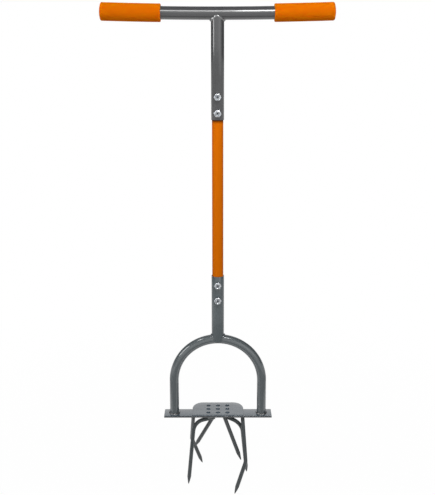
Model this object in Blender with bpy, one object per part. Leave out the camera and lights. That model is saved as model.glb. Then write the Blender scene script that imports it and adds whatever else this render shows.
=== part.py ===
"""Claw cultivator: a twist tiller with a T handle, a foot stirrup and six steel tines.

The tool stands on its tine tips. +Z runs up the stem, +X runs along the handlebar, and the nuts
face -Y. The origin is on the stem's axis, level with the tips of the four long tines.
"""

import math

import bmesh
import bpy
from mathutils import Vector

MM = 0.001

# Fits
TOUCH_GAP = 0.3 * MM        # between two pieces that bear on each other or are welded
SLIDE_FIT = 0.4 * MM        # all round the centre tube inside the stem tubes

# Stem
STEM_DIAMETER = 25.4 * MM
STEM_WALL = 1.2 * MM
CENTRE_WALL = 1.5 * MM
UPPER_STEM_REACH = 202.3 * MM   # handlebar axis down to the upper stem's open rim
CENTRE_EXPOSED = 314.7 * MM     # orange tube seen between the two rims
LOWER_STEM_REACH = 135.3 * MM   # crown of the arch up to the lower stem's open rim
CENTRE_END_MARGIN = 21.3 * MM   # the centre tube runs this far past its last bolt
STEM_EAR_DROP = 3.0 * MM        # the lower stem's coped ears hang this far below the crown

# Handlebar and grips
HANDLE_SPAN = 448.0 * MM        # over both grips
HANDLE_DIAMETER = 25.4 * MM
HANDLE_WALL = 1.5 * MM
HANDLE_BOW = 3.6 * MM           # the ends stand this much above the middle
GRIP_LENGTH = 116.0 * MM
GRIP_WALL = 4.4 * MM
GRIP_END_WALL = 4.0 * MM
GRIP_END_ROUND = 3.5 * MM
GRIP_MOUTH_ROUND = 1.6 * MM

# Stirrup
STIRRUP_DIAMETER = 19.05 * MM
STIRRUP_WALL = 1.5 * MM
ARCH_RADIUS = 90.4 * MM         # to the tube's centre line
LEG_LENGTH = 71.8 * MM          # straight part of each leg

# Foot bar and tread plate
BAR_TOP = 149.0 * MM            # height above the tine tips
BAR_OVERHANG = 11.4 * MM        # the bar's ends stand this far out past the legs
BAR_WIDTH = 30.0 * MM
BAR_BACK_MARGIN = 4.6 * MM       # the bar's back edge stands this far behind the legs
BAR_THICKNESS = 4.0 * MM
BAR_EDGE_ROUND = 0.6 * MM
PLATE_WIDTH = 106.4 * MM
PLATE_DEPTH = 56.5 * MM
PLATE_THICKNESS = 2.0 * MM
PLATE_BACK_CORNER = 22.0 * MM
PLATE_FRONT_CORNER = 2.0 * MM
PLATE_EDGE_ROUND = 0.5 * MM
STUD_COUNT = 3                  # raised studs in each row and in each column
STUD_SIDE_MARGIN = 23.65 * MM   # plate's edges to the field that the studs share out
STUD_FRONT_MARGIN = 4.1 * MM
STUD_BACK_MARGIN = 7.4 * MM
STUD_DIAMETER = 9.2 * MM
STUD_HEIGHT = 1.9 * MM

# Bolts and lock nuts
BOLT_DIAMETER = 8.0 * MM
BOLT_PITCH = 31.5 * MM
UPPER_BOLT_MARGIN = 13.3 * MM   # rim to the nearest bolt
LOWER_BOLT_MARGIN = 16.3 * MM
HEX_SHOULDER = 2.5 * MM         # the flats stand this far out from the bolt's side
BOLT_HEAD_HEIGHT = 5.3 * MM
NUT_HEX_HEIGHT = 6.2 * MM
NUT_COLLAR_HEIGHT = 1.8 * MM    # the round collar holds the nylon ring
NUT_COLLAR_WALL = 1.4 * MM
BOLT_END_RECESS = 1.2 * MM      # the bolt stops this far inside the collar
HEX_CHAMFER = 0.7 * MM

# Tines: places of the left hand ones. The long ones have half turn copies on the right, and the
# right hand short one has places of its own. A root is X and Y on the bar's underside, a corner or
# a short tip adds its drop below the bar, and a long tip is X and Y on the ground.
ROD_DIAMETER = 8.0 * MM
TIP_LENGTH = 15.0 * MM
ARCHED_ROOT = (-7.0 * MM, -5.5 * MM)
ARCHED_CORNER = (-49.7 * MM, 3.0 * MM, 19.0 * MM)
ARCHED_TIP = (-61.6 * MM, -22.1 * MM)
ARCHED_BEND = 29.5 * MM
KINKED_ROOT = (-51.0 * MM, 0.5 * MM)
KINKED_CORNER = (-56.7 * MM, 46.0 * MM, 81.0 * MM)
KINKED_TIP = (-34.3 * MM, 56.7 * MM)
KINKED_BEND = 14.0 * MM
SHORT_LEFT_ROOT = (-4.6 * MM, 6.0 * MM)
SHORT_LEFT_TIP = (-49.0 * MM, 26.5 * MM, 88.0 * MM)
SHORT_RIGHT_ROOT = (12.6 * MM, -6.0 * MM)
SHORT_RIGHT_TIP = (47.6 * MM, -26.5 * MM, 88.0 * MM)

# A tine's point: how far back from the tip, as a share of its length, and the rod's share there
TIP_TAPER = ((1.0, 1.0), (0.55, 0.68), (0.2, 0.34), (0.0, 0.14))

# Weld beads
HANDLE_BEAD = 1.9 * MM          # radius
CROWN_BEAD = 1.7 * MM
LEG_BEAD = 1.5 * MM
TINE_BEAD = 1.2 * MM
ARM_BEAD_LENGTH = 16.0 * MM
ARM_BEAD_TURN = 2.4 * MM        # radius of the bead's turn round the arm's end
HANDLE_BEAD_EASE = 2.0 * MM     # rounds the bead's two peaks on the front and back of the bar
CROWN_BEAD_REACH = math.radians(58.0)   # each side of the arch's top, round the arch's tube
LEG_BEAD_REACH = math.radians(110.0)    # each side of the leg's front
BEAD_END_SHARE = 0.45           # a bead's ends are drawn in to this share of its radius

# Faces round each shape, and steps along it
TUBE_SIDES = 24
ROD_SIDES = 12
BEAD_SIDES = 6
HEX_SIDES = 24
STUD_SIDES = 12
ARCH_STEPS = 18
BOW_STEPS = 8
GRIP_STEPS = 4
EDGE_STEPS = 4
DOME_STEPS = 3
RING_STEPS = 16
BEAD_STEPS = 12
BEAD_TURN_STEPS = 4
ARCHED_BEND_STEPS = 12
KINKED_BEND_STEPS = 6
BAR_CORNER_STEPS = 2
PLATE_CORNER_STEPS = 8
SOFT_EDGE_STEPS = 2
SMOOTH_BELOW = math.radians(35.0)   # faces that meet at less than this are shaded as one
SOFTEN_ABOVE = math.radians(50.0)   # edges sharper than this are rounded on a plate

# Places that follow from the sizes above
STEM_RADIUS = STEM_DIAMETER / 2
STEM_BORE = STEM_RADIUS - STEM_WALL
CENTRE_RADIUS = STEM_BORE - SLIDE_FIT
HANDLE_RADIUS = HANDLE_DIAMETER / 2
STIRRUP_RADIUS = STIRRUP_DIAMETER / 2
ROD_RADIUS = ROD_DIAMETER / 2
BOLT_RADIUS = BOLT_DIAMETER / 2
BOLT_HOLE_RADIUS = BOLT_RADIUS + TOUCH_GAP
HEX_FLATS_RADIUS = BOLT_RADIUS + HEX_SHOULDER
NUT_HEIGHT = NUT_HEX_HEIGHT + NUT_COLLAR_HEIGHT
BOLT_SEAT = STEM_RADIUS + TOUCH_GAP
UPPER_INSERTION = UPPER_BOLT_MARGIN + BOLT_PITCH + CENTRE_END_MARGIN
LOWER_INSERTION = LOWER_BOLT_MARGIN + BOLT_PITCH + CENTRE_END_MARGIN
BAR_BOTTOM = BAR_TOP - BAR_THICKNESS
BAR_BACK = STIRRUP_RADIUS + BAR_BACK_MARGIN
BAR_FRONT = BAR_BACK - BAR_WIDTH
BAR_HALF = ARCH_RADIUS + STIRRUP_RADIUS + BAR_OVERHANG
TINE_SEAT = BAR_BOTTOM - TOUCH_GAP
LEG_FOOT = BAR_TOP + TOUCH_GAP
ARCH_CENTRE = LEG_FOOT + LEG_LENGTH
CROWN = ARCH_CENTRE + ARCH_RADIUS
LOWER_RIM = CROWN + LOWER_STEM_REACH
UPPER_RIM = LOWER_RIM + CENTRE_EXPOSED
HANDLE_AXIS = UPPER_RIM + UPPER_STEM_REACH

# Directions
ALONG_X = Vector((1.0, 0.0, 0.0))
ALONG_Y = Vector((0.0, 1.0, 0.0))
UP = Vector((0.0, 0.0, 1.0))

# Colours (linear), roughness and metallic value
FINISHES = {
    "grey_paint": ((0.120, 0.128, 0.135), 0.38, 0.35),
    "orange_paint": ((0.680, 0.150, 0.010), 0.42, 0.0),
    "orange_foam": ((0.860, 0.190, 0.012), 0.78, 0.0),
    "bright_zinc": ((0.620, 0.640, 0.650), 0.28, 1.0),
}


def clear_scene():
    """Remove every object that the scene starts with."""
    for item in list(bpy.data.objects):
        bpy.data.objects.remove(item, do_unlink=True)


def finish(name, piece_name):
    """Return a new material for one piece, coloured as the named finish."""
    colour, roughness, metallic = FINISHES[name]
    material = bpy.data.materials.new(piece_name + "_" + name)
    material.use_nodes = True
    shader = material.node_tree.nodes["Principled BSDF"]
    shader.inputs["Base Color"].default_value = (*colour, 1.0)
    shader.inputs["Roughness"].default_value = roughness
    shader.inputs["Metallic"].default_value = metallic
    return material


def frame_at(name, parent, height):
    """Return an empty on the stem's axis that carries the pieces built round it."""
    empty = bpy.data.objects.new(name, None)
    bpy.context.scene.collection.objects.link(empty)
    empty.parent = parent
    offset = parent.matrix_world.translation.z if parent else 0.0
    empty.location = (0.0, 0.0, height - offset)
    bpy.context.view_layer.update()
    return empty


def place(name, mesh, parent, finish_name, location=(0.0, 0.0, 0.0), turn=0.0):
    """Return an object that shows the mesh in its finish, turned about Z under its parent."""
    piece = bpy.data.objects.new(name, mesh)
    bpy.context.scene.collection.objects.link(piece)
    piece.parent = parent
    piece.location = location
    piece.rotation_euler = (0.0, 0.0, turn)
    if finish_name:
        if not mesh.materials:
            mesh.materials.append(None)
        slot = piece.material_slots[0]
        slot.link = "OBJECT"
        slot.material = finish(finish_name, name)
    return piece


def place_cutter(name, mesh, parent, location=(0.0, 0.0, 0.0)):
    """Return a guide object for a Boolean, kept out of the model."""
    cutter = place(name, mesh, parent, None, location)
    cutter.hide_render = True
    cutter.display_type = "WIRE"
    return cutter


def boolean(piece, tool, operation):
    """Cut the tool out of the piece, or join it on."""
    step = piece.modifiers.new(tool.name, "BOOLEAN")
    step.operation = operation
    step.solver = "EXACT"
    step.object = tool


def finish_mesh(bm, name):
    """Turn the faces out, shade round ones smooth and return the mesh."""
    bmesh.ops.recalc_face_normals(bm, faces=bm.faces)
    mesh = bpy.data.meshes.new(name)
    bm.to_mesh(mesh)
    bm.free()
    mesh.shade_smooth()
    mesh.set_sharp_from_angle(angle=SMOOTH_BELOW)
    return mesh


def ring_points(centre, along, reference, radius, sides, hexagon=False):
    """Return the corners of a ring square to a direction, round or six sided."""
    across = reference.cross(along).normalized()
    up = along.normalized().cross(across)
    corners = []
    for index in range(sides):
        angle = 2.0 * math.pi * index / sides
        reach = radius
        if hexagon:
            reach = radius / math.cos((angle % (math.pi / 3.0)) - math.pi / 6.0)
        corners.append(centre + across * (reach * math.cos(angle)) + up * (reach * math.sin(angle)))
    return corners


def loft(name, rings, wrap):
    """Return a mesh that joins rings in order, wrapped round on itself or capped at its ends."""
    bm = bmesh.new()
    loops = [[bm.verts.new(corner) for corner in ring] for ring in rings]
    count = len(loops)
    sides = len(loops[0])
    for index in range(count if wrap else count - 1):
        here = loops[index]
        there = loops[(index + 1) % count]
        for side in range(sides):
            following = (side + 1) % sides
            bm.faces.new((here[side], here[following], there[following], there[side]))
    if not wrap:
        bm.faces.new(loops[0])
        bm.faces.new(loops[-1])
    return finish_mesh(bm, name)


def directions(path, closed):
    """Return the direction of travel at each point of a path."""
    count = len(path)
    result = []
    for index in range(count):
        before = path[index - 1] if closed or index > 0 else path[index]
        after = path[(index + 1) % count] if closed or index < count - 1 else path[index]
        result.append((after - before).normalized())
    return result


def sweep_rings(path, radii, sides, reference, closed=False):
    """Return a ring at each point of a path."""
    rings = []
    for centre, along, radius in zip(path, directions(path, closed), radii):
        rings.append(ring_points(centre, along, reference, radius, sides))
    return rings


def tube_mesh(name, path, radius, wall):
    """Return an open ended tube along a path that lies square to Y."""
    outer = sweep_rings(path, [radius] * len(path), TUBE_SIDES, ALONG_Y)
    inner = sweep_rings(path, [radius - wall] * len(path), TUBE_SIDES, ALONG_Y)
    return loft(name, outer + inner[::-1], wrap=True)


def bar_mesh(name, path, radius):
    """Return a solid round bar along a path that lies square to Y."""
    return loft(name, sweep_rings(path, [radius] * len(path), TUBE_SIDES, ALONG_Y), wrap=False)


def bead_mesh(name, path, radius, closed):
    """Return a weld bead along a path that never runs straight up, its ends drawn in."""
    radii = [radius] * len(path)
    if not closed:
        radii[0] = radius * BEAD_END_SHARE
        radii[-1] = radius * BEAD_END_SHARE
    return loft(name, sweep_rings(path, radii, BEAD_SIDES, UP, closed), wrap=closed)


def turned_mesh(name, profile, wrap=False):
    """Return a shape turned about Y from rows of place, radius and whether the row is six sided."""
    rings = []
    for place_y, radius, hexagon in profile:
        rings.append(ring_points(ALONG_Y * place_y, ALONG_Y, ALONG_X, radius, HEX_SIDES, hexagon))
    return loft(name, rings, wrap)


def upright(bottom, top):
    """Return a two point path up the stem's axis."""
    return [UP * bottom, UP * top]


def bowed_point(x):
    """Return the point of the handlebar's centre line at a distance along X, its middle at zero."""
    return Vector((x, 0.0, HANDLE_BOW * (2.0 * x / HANDLE_SPAN) ** 2))


def rounded_path(corners, bend, steps):
    """Return a path through corners, the inner ones rounded to the bend's radius."""
    path = [corners[0]]
    for before, corner, after in zip(corners, corners[1:], corners[2:]):
        back = (before - corner).normalized()
        on = (after - corner).normalized()
        half = back.angle(on) / 2.0
        run = bend / math.tan(half)
        centre = corner + (back + on).normalized() * (bend / math.sin(half))
        start = corner + back * run - centre
        end = corner + on * run - centre
        sweep = start.angle(end)
        for step in range(steps + 1):
            share = step / steps
            blend = start * math.sin((1.0 - share) * sweep) + end * math.sin(share * sweep)
            path.append(centre + blend / math.sin(sweep))
    path.append(corners[-1])
    return path


def build_handle(root):
    """Build the bowed handlebar, its two grips and the weld to the stem."""
    frame = frame_at("handle_frame", root, HANDLE_AXIS)
    bar_half = HANDLE_SPAN / 2 - GRIP_END_WALL - TOUCH_GAP
    path = [bowed_point(bar_half * (2.0 * step / BOW_STEPS - 1.0)) for step in range(BOW_STEPS + 1)]
    bar = tube_mesh("handlebar_tube", path, HANDLE_RADIUS, HANDLE_WALL)
    place("handlebar_tube", bar, frame, "grey_paint")

    grip = grip_mesh(bar_half)
    place("grip_right", grip, frame, "orange_foam")
    place("grip_left", grip, frame, "orange_foam", turn=math.pi)

    place("handle_weld", handle_weld_mesh(), frame, "grey_paint")
    clearance = bar_mesh("handlebar_clearance", path, HANDLE_RADIUS + TOUCH_GAP)
    return place_cutter("handlebar_clearance", clearance, frame)


def rounded_edge(x, outer, size, way):
    """Return rows of place and radius that round a sleeve's edge, from its side to its face."""
    rows = []
    for step in range(EDGE_STEPS + 1):
        angle = math.pi / 2.0 * step / EDGE_STEPS
        rows.append((x + way * size * math.sin(angle), outer - size * (1.0 - math.cos(angle))))
    return rows


def grip_mesh(bar_half):
    """Return the right hand grip, a sleeve with a closed, rounded end that follows the bar's bow."""
    bore = HANDLE_RADIUS + TOUCH_GAP
    outer = bore + GRIP_WALL
    blind = bar_half + TOUCH_GAP
    mouth = HANDLE_SPAN / 2 - GRIP_LENGTH
    side_start = mouth + GRIP_MOUTH_ROUND
    side_end = HANDLE_SPAN / 2 - GRIP_END_ROUND

    side_run = side_end - side_start

    rows = [(blind + (mouth - blind) * step / GRIP_STEPS, bore) for step in range(GRIP_STEPS + 1)]
    rows += rounded_edge(side_start, outer, GRIP_MOUTH_ROUND, -1.0)[::-1]
    rows += [(side_start + side_run * step / GRIP_STEPS, outer) for step in range(1, GRIP_STEPS)]
    rows += rounded_edge(side_end, outer, GRIP_END_ROUND, 1.0)

    rings = []
    for x, radius in rows:
        along = bowed_point(x + MM) - bowed_point(x - MM)
        rings.append(ring_points(bowed_point(x), along, ALONG_Y, radius, TUBE_SIDES))
    return loft("grip", rings, wrap=False)


def handle_weld_mesh():
    """Return the bead that runs round the stem's coped top, peaked on the bar's front and back."""
    stem_reach = STEM_RADIUS + TOUCH_GAP + HANDLE_BEAD
    bar_reach = HANDLE_RADIUS + TOUCH_GAP + HANDLE_BEAD
    path = []
    for step in range(2 * RING_STEPS):
        angle = math.pi * step / RING_STEPS
        y = stem_reach * math.sin(angle)
        drop = math.sqrt(max(bar_reach ** 2 - y ** 2, 0.0) + HANDLE_BEAD_EASE ** 2)
        path.append(Vector((stem_reach * math.cos(angle), y, -drop)))
    return bead_mesh("handle_weld", path, HANDLE_BEAD, closed=True)


def build_stem(root, handlebar_clearance, stirrup_clearance):
    """Build the two coped stem tubes, the centre tube that joins them and their bolts and nuts."""
    frame = frame_at("stem_frame", root, LOWER_RIM)
    upper_path = upright(CENTRE_EXPOSED, HANDLE_AXIS - LOWER_RIM)
    lower_path = upright(CROWN - STEM_EAR_DROP - LOWER_RIM, 0.0)
    centre_path = upright(-LOWER_INSERTION, CENTRE_EXPOSED + UPPER_INSERTION)

    upper_mesh = tube_mesh("upper_stem_tube", upper_path, STEM_RADIUS, STEM_WALL)
    upper_tube = place("upper_stem_tube", upper_mesh, frame, "grey_paint")
    boolean(upper_tube, handlebar_clearance, "DIFFERENCE")

    lower_mesh = tube_mesh("lower_stem_tube", lower_path, STEM_RADIUS, STEM_WALL)
    lower_tube = place("lower_stem_tube", lower_mesh, frame, "grey_paint")
    boolean(lower_tube, stirrup_clearance, "DIFFERENCE")

    centre_mesh = tube_mesh("centre_tube", centre_path, CENTRE_RADIUS, CENTRE_WALL)
    centre_tube = place("centre_tube", centre_mesh, frame, "orange_paint")

    bolt = bolt_mesh()
    nut = nut_mesh()
    hole = turned_mesh("bolt_hole", [(-STEM_DIAMETER, BOLT_HOLE_RADIUS, False),
                                     (STEM_DIAMETER, BOLT_HOLE_RADIUS, False)])
    upper_first = CENTRE_EXPOSED + UPPER_BOLT_MARGIN
    for tube, label, first, pitch in ((upper_tube, "upper", upper_first, BOLT_PITCH),
                                      (lower_tube, "lower", -LOWER_BOLT_MARGIN, -BOLT_PITCH)):
        for number in (1, 2):
            spot = (0.0, 0.0, first + pitch * (number - 1))
            place(f"{label}_bolt_{number}", bolt, frame, "bright_zinc", spot)
            place(f"{label}_nut_{number}", nut, frame, "bright_zinc", spot)
            cutter = place_cutter(f"{label}_bolt_hole_{number}", hole, frame, spot)
            boolean(tube, cutter, "DIFFERENCE")
            boolean(centre_tube, cutter, "DIFFERENCE")


def bolt_mesh():
    """Return a hexagon head bolt, its head behind the stem and its end inside the nut."""
    top = BOLT_SEAT + BOLT_HEAD_HEIGHT
    end = -(BOLT_SEAT + NUT_HEIGHT - BOLT_END_RECESS)
    profile = [
        (end, BOLT_RADIUS - HEX_CHAMFER, False),
        (end + HEX_CHAMFER, BOLT_RADIUS, False),
        (BOLT_SEAT, BOLT_RADIUS, False),
        (BOLT_SEAT, HEX_FLATS_RADIUS, True),
        (top - HEX_CHAMFER, HEX_FLATS_RADIUS, True),
        (top, HEX_FLATS_RADIUS - HEX_CHAMFER / 2, False),
    ]
    return turned_mesh("bolt", profile)


def nut_mesh():
    """Return a lock nut, a hexagon with a round collar that holds its nylon ring."""
    seat = -BOLT_SEAT
    collar = BOLT_HOLE_RADIUS + NUT_COLLAR_WALL
    profile = [
        (seat, HEX_FLATS_RADIUS - HEX_CHAMFER / 2, False),
        (seat - HEX_CHAMFER, HEX_FLATS_RADIUS, True),
        (seat - NUT_HEX_HEIGHT + HEX_CHAMFER, HEX_FLATS_RADIUS, True),
        (seat - NUT_HEX_HEIGHT, collar, False),
        (seat - NUT_HEIGHT + HEX_CHAMFER, collar, False),
        (seat - NUT_HEIGHT, collar - HEX_CHAMFER, False),
        (seat - NUT_HEIGHT, BOLT_HOLE_RADIUS, False),
        (seat, BOLT_HOLE_RADIUS, False),
    ]
    return turned_mesh("nut", profile, wrap=True)


def stirrup_path():
    """Return the stirrup's centre line, up the left leg, over the arch and down the right leg."""
    path = [Vector((-ARCH_RADIUS, 0.0, -LEG_LENGTH))]
    for step in range(ARCH_STEPS + 1):
        angle = math.pi * (1.0 - step / ARCH_STEPS)
        path.append(Vector((ARCH_RADIUS * math.cos(angle), 0.0, ARCH_RADIUS * math.sin(angle))))
    path.append(Vector((ARCH_RADIUS, 0.0, -LEG_LENGTH)))
    return path


def build_stirrup(root):
    """Build the bent stirrup tube and the welds at its crown and at both feet."""
    frame = frame_at("stirrup_frame", root, ARCH_CENTRE)
    path = stirrup_path()
    place("stirrup_tube", tube_mesh("stirrup_tube", path, STIRRUP_RADIUS, STIRRUP_WALL), frame, "grey_paint")

    crown_weld = crown_weld_mesh()
    place("crown_weld_right", crown_weld, frame, "grey_paint")
    place("crown_weld_left", crown_weld, frame, "grey_paint", turn=math.pi)

    leg_weld = leg_weld_mesh()
    for side, x in (("left", -ARCH_RADIUS), ("right", ARCH_RADIUS)):
        place("leg_weld_" + side, leg_weld, frame, "grey_paint", (x, 0.0, -LEG_LENGTH))

    clearance = bar_mesh("stirrup_clearance", path, STIRRUP_RADIUS + TOUCH_GAP)
    return place_cutter("stirrup_clearance", clearance, frame)


def crown_weld_mesh():
    """Return the right hand bead between the lower stem and the top of the arch."""
    stem_reach = STEM_RADIUS + TOUCH_GAP + CROWN_BEAD
    tube_reach = STIRRUP_RADIUS + TOUCH_GAP + CROWN_BEAD
    narrower = min(stem_reach, tube_reach)
    path = []
    for step in range(BEAD_STEPS + 1):
        y = narrower * math.sin(CROWN_BEAD_REACH * (2.0 * step / BEAD_STEPS - 1.0))
        x = math.sqrt(stem_reach ** 2 - y ** 2)
        from_centre = ARCH_RADIUS + math.sqrt(tube_reach ** 2 - y ** 2)
        path.append(Vector((x, y, math.sqrt(from_centre ** 2 - x ** 2))))
    return bead_mesh("crown_weld", path, CROWN_BEAD, closed=False)


def leg_weld_mesh():
    """Return the bead round the front and sides of a leg's foot, open where the leg meets the edge."""
    reach = STIRRUP_RADIUS + TOUCH_GAP + LEG_BEAD
    path = []
    for step in range(BEAD_STEPS + 1):
        from_front = LEG_BEAD_REACH * (2.0 * step / BEAD_STEPS - 1.0)
        path.append(Vector((reach * math.sin(from_front), -reach * math.cos(from_front), LEG_BEAD)))
    return bead_mesh("leg_weld", path, LEG_BEAD, closed=False)


def plate_mesh(name, outline, bottom, top):
    """Return a flat plate of the given outline."""
    rings = [[Vector((x, y, height)) for x, y in outline] for height in (bottom, top)]
    return loft(name, rings, wrap=False)


def rounded_outline(half_width, front, back, front_corner, back_corner, steps):
    """Return a rectangle's outline with one radius at its front corners and one at its back ones."""
    outline = []
    for turn, side, edge, radius in ((0, 1.0, back, back_corner), (1, -1.0, back, back_corner),
                                     (2, -1.0, front, front_corner), (3, 1.0, front, front_corner)):
        centre_x = side * (half_width - radius)
        centre_y = edge - radius if turn < 2 else edge + radius
        for step in range(steps + 1):
            angle = math.pi / 2.0 * (turn + step / steps)
            outline.append((centre_x + radius * math.cos(angle), centre_y + radius * math.sin(angle)))
    return outline


def soften(piece, width):
    """Round a plate's sharp edges."""
    step = piece.modifiers.new("edge_round", "BEVEL")
    step.width = width
    step.segments = SOFT_EDGE_STEPS
    step.limit_method = "ANGLE"
    step.angle_limit = SOFTEN_ABOVE


def build_foot(root):
    """Build the foot bar and the studded tread plate on it."""
    frame = frame_at("foot_frame", root, BAR_TOP)
    outline = rounded_outline(BAR_HALF, BAR_FRONT, BAR_BACK, BAR_EDGE_ROUND, BAR_EDGE_ROUND, BAR_CORNER_STEPS)
    bar = place("foot_bar", plate_mesh("foot_bar", outline, -BAR_THICKNESS, 0.0), frame, "grey_paint")
    soften(bar, BAR_EDGE_ROUND)

    plate_back = BAR_FRONT + PLATE_DEPTH
    outline = rounded_outline(PLATE_WIDTH / 2, BAR_FRONT, plate_back,
                              PLATE_FRONT_CORNER, PLATE_BACK_CORNER, PLATE_CORNER_STEPS)
    bottom = TOUCH_GAP
    top = bottom + PLATE_THICKNESS
    plate = place("tread_plate", plate_mesh("tread_plate", outline, bottom, top), frame, "grey_paint")
    soften(plate, PLATE_EDGE_ROUND)

    skin = PLATE_THICKNESS / 2
    stud = dome_mesh("stud", STUD_DIAMETER / 2, STUD_HEIGHT, skin)
    dimple = dome_mesh("dimple", STUD_DIAMETER / 2 - skin, STUD_HEIGHT, skin)
    pitch_x = (PLATE_WIDTH - 2.0 * STUD_SIDE_MARGIN) / STUD_COUNT
    pitch_y = (PLATE_DEPTH - STUD_FRONT_MARGIN - STUD_BACK_MARGIN) / STUD_COUNT
    for row in range(STUD_COUNT):
        for column in range(STUD_COUNT):
            x = pitch_x * (column + 0.5) + STUD_SIDE_MARGIN - PLATE_WIDTH / 2
            y = pitch_y * (row + 0.5) + STUD_FRONT_MARGIN + BAR_FRONT
            label = f"{row + 1}_{column + 1}"
            raised = place_cutter("stud_" + label, stud, frame, (x, y, top))
            boolean(plate, raised, "UNION")
            pressed = place_cutter("dimple_" + label, dimple, frame, (x, y, bottom))
            boolean(plate, pressed, "DIFFERENCE")


def dome_mesh(name, base, height, sunk):
    """Return a low dome on a short drum that sinks below its seat."""
    rings = [ring_points(UP * -sunk, UP, ALONG_Y, base, STUD_SIDES)]
    for step in range(DOME_STEPS):
        angle = math.pi / 2.0 * step / DOME_STEPS
        centre = UP * (height * math.sin(angle))
        rings.append(ring_points(centre, UP, ALONG_Y, base * math.cos(angle), STUD_SIDES))
    return loft(name, rings, wrap=False)


def levelled(ring, run, height):
    """Return a ring whose corners are slid along the rod's run to one height."""
    return [corner + run * ((height - corner.z) / run.z) for corner in ring]


def tine_mesh(name, path, cut_top):
    """Return a rod along a path, drawn to a blunt point that is cut level, and its top too where asked."""
    tip = path[-1]
    back = (path[-2] - tip).normalized()
    points = list(path[:-1])
    radii = [ROD_RADIUS] * len(points)
    for share, size in TIP_TAPER:
        points.append(tip + back * (TIP_LENGTH * share))
        radii.append(ROD_RADIUS * size)
    rings = sweep_rings(points, radii, ROD_SIDES, ALONG_Y)
    rings[-1] = levelled(rings[-1], back, tip.z)
    if cut_top:
        rings[0] = levelled(rings[0], points[1] - points[0], points[0].z)
    return loft(name, rings, wrap=False)


def root_weld_mesh(name, top, below):
    """Return the bead round a slanting rod where it meets the bar's underside."""
    run = (below - top).normalized()
    reach = ROD_RADIUS + TOUCH_GAP + TINE_BEAD
    centre = top - run * (TINE_BEAD / run.z)
    path = []
    for step in range(RING_STEPS):
        angle = 2.0 * math.pi * step / RING_STEPS
        out = Vector((math.cos(angle), math.sin(angle), 0.0))
        path.append(centre + out * (reach / math.sqrt(1.0 - out.dot(run) ** 2)))
    return bead_mesh(name, path, TINE_BEAD, closed=True)


def arm_weld_mesh(name, start, corner):
    """Return the bead along the front and round the inner end of an arm under the bar."""
    reach = ROD_RADIUS + TOUCH_GAP + TINE_BEAD
    aside = math.sqrt(reach ** 2 - (ROD_RADIUS - TINE_BEAD) ** 2)
    level = Vector((corner.x - start.x, corner.y - start.y, 0.0)).normalized()
    side = UP.cross(level)
    end = Vector((start.x, start.y, TINE_SEAT - TINE_BEAD)) - level * (TOUCH_GAP + TINE_BEAD)
    corners = [end + level * ARM_BEAD_LENGTH + side * aside, end + side * aside, end]
    return bead_mesh(name, rounded_path(corners, ARM_BEAD_TURN, BEAD_TURN_STEPS), TINE_BEAD, closed=False)


def below_bar(spot):
    """Return the point that lies at a spot's X and Y and at its drop below the foot bar."""
    x, y, drop = spot
    return Vector((x, y, BAR_BOTTOM - drop))


def build_tines(root):
    """Build the long tines, the right hand ones as half turn copies, and the two short ones."""
    frame = frame_at("tine_frame", root, 0.0)

    corner = below_bar(ARCHED_CORNER)
    level_run = math.dist(ARCHED_CORNER[:2], ARCHED_ROOT)
    slope = math.atan2(TINE_SEAT - ROD_RADIUS - corner.z, level_run)
    start = Vector((*ARCHED_ROOT, TINE_SEAT - ROD_RADIUS * math.cos(slope)))
    arched_path = rounded_path([start, corner, Vector((*ARCHED_TIP, 0.0))], ARCHED_BEND, ARCHED_BEND_STEPS)
    arched = tine_mesh("arched_tine", arched_path, cut_top=False)
    arched_weld = arm_weld_mesh("arched_weld", start, corner)

    top = Vector((*KINKED_ROOT, TINE_SEAT))
    corner = below_bar(KINKED_CORNER)
    kinked_path = rounded_path([top, corner, Vector((*KINKED_TIP, 0.0))], KINKED_BEND, KINKED_BEND_STEPS)
    kinked = tine_mesh("kinked_tine", kinked_path, cut_top=True)
    kinked_weld = root_weld_mesh("kinked_weld", top, corner)

    for kind, rod, weld in (("arched", arched, arched_weld), ("kinked", kinked, kinked_weld)):
        for side, turn in (("left", 0.0), ("right", math.pi)):
            place(f"{kind}_tine_{side}", rod, frame, "grey_paint", turn=turn)
            place(f"{kind}_weld_{side}", weld, frame, "grey_paint", turn=turn)

    for side, root_spot, tip_spot in (("left", SHORT_LEFT_ROOT, SHORT_LEFT_TIP),
                                      ("right", SHORT_RIGHT_ROOT, SHORT_RIGHT_TIP)):
        top = Vector((*root_spot, TINE_SEAT))
        tip = below_bar(tip_spot)
        place(f"short_tine_{side}", tine_mesh("short_tine", [top, tip], cut_top=True), frame, "grey_paint")
        place(f"short_weld_{side}", root_weld_mesh("short_weld", top, tip), frame, "grey_paint")


def main():
    """Build the whole tool."""
    clear_scene()
    root = frame_at("claw_cultivator", None, 0.0)
    handlebar_clearance = build_handle(root)
    stirrup_clearance = build_stirrup(root)
    build_stem(root, handlebar_clearance, stirrup_clearance)
    build_foot(root)
    build_tines(root)
    bpy.context.view_layer.update()


main()
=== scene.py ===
"""Looks of the claw cultivator: its paint, foam, zinc and weld beads, in a plain pale studio.

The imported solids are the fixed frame. Each is replaced by a finer surface of the same size in the
same place. Lengths are in metres, +Z runs up the stem, +X along the handlebar, and the nuts face -Y.
"""

from __future__ import annotations

import logging
import math
from collections.abc import Callable, Sequence
from dataclasses import dataclass, field
from enum import Enum
from typing import Any

import bmesh
import bpy
from mathutils import Matrix, Vector, noise
from mathutils.geometry import delaunay_2d_cdt


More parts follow.
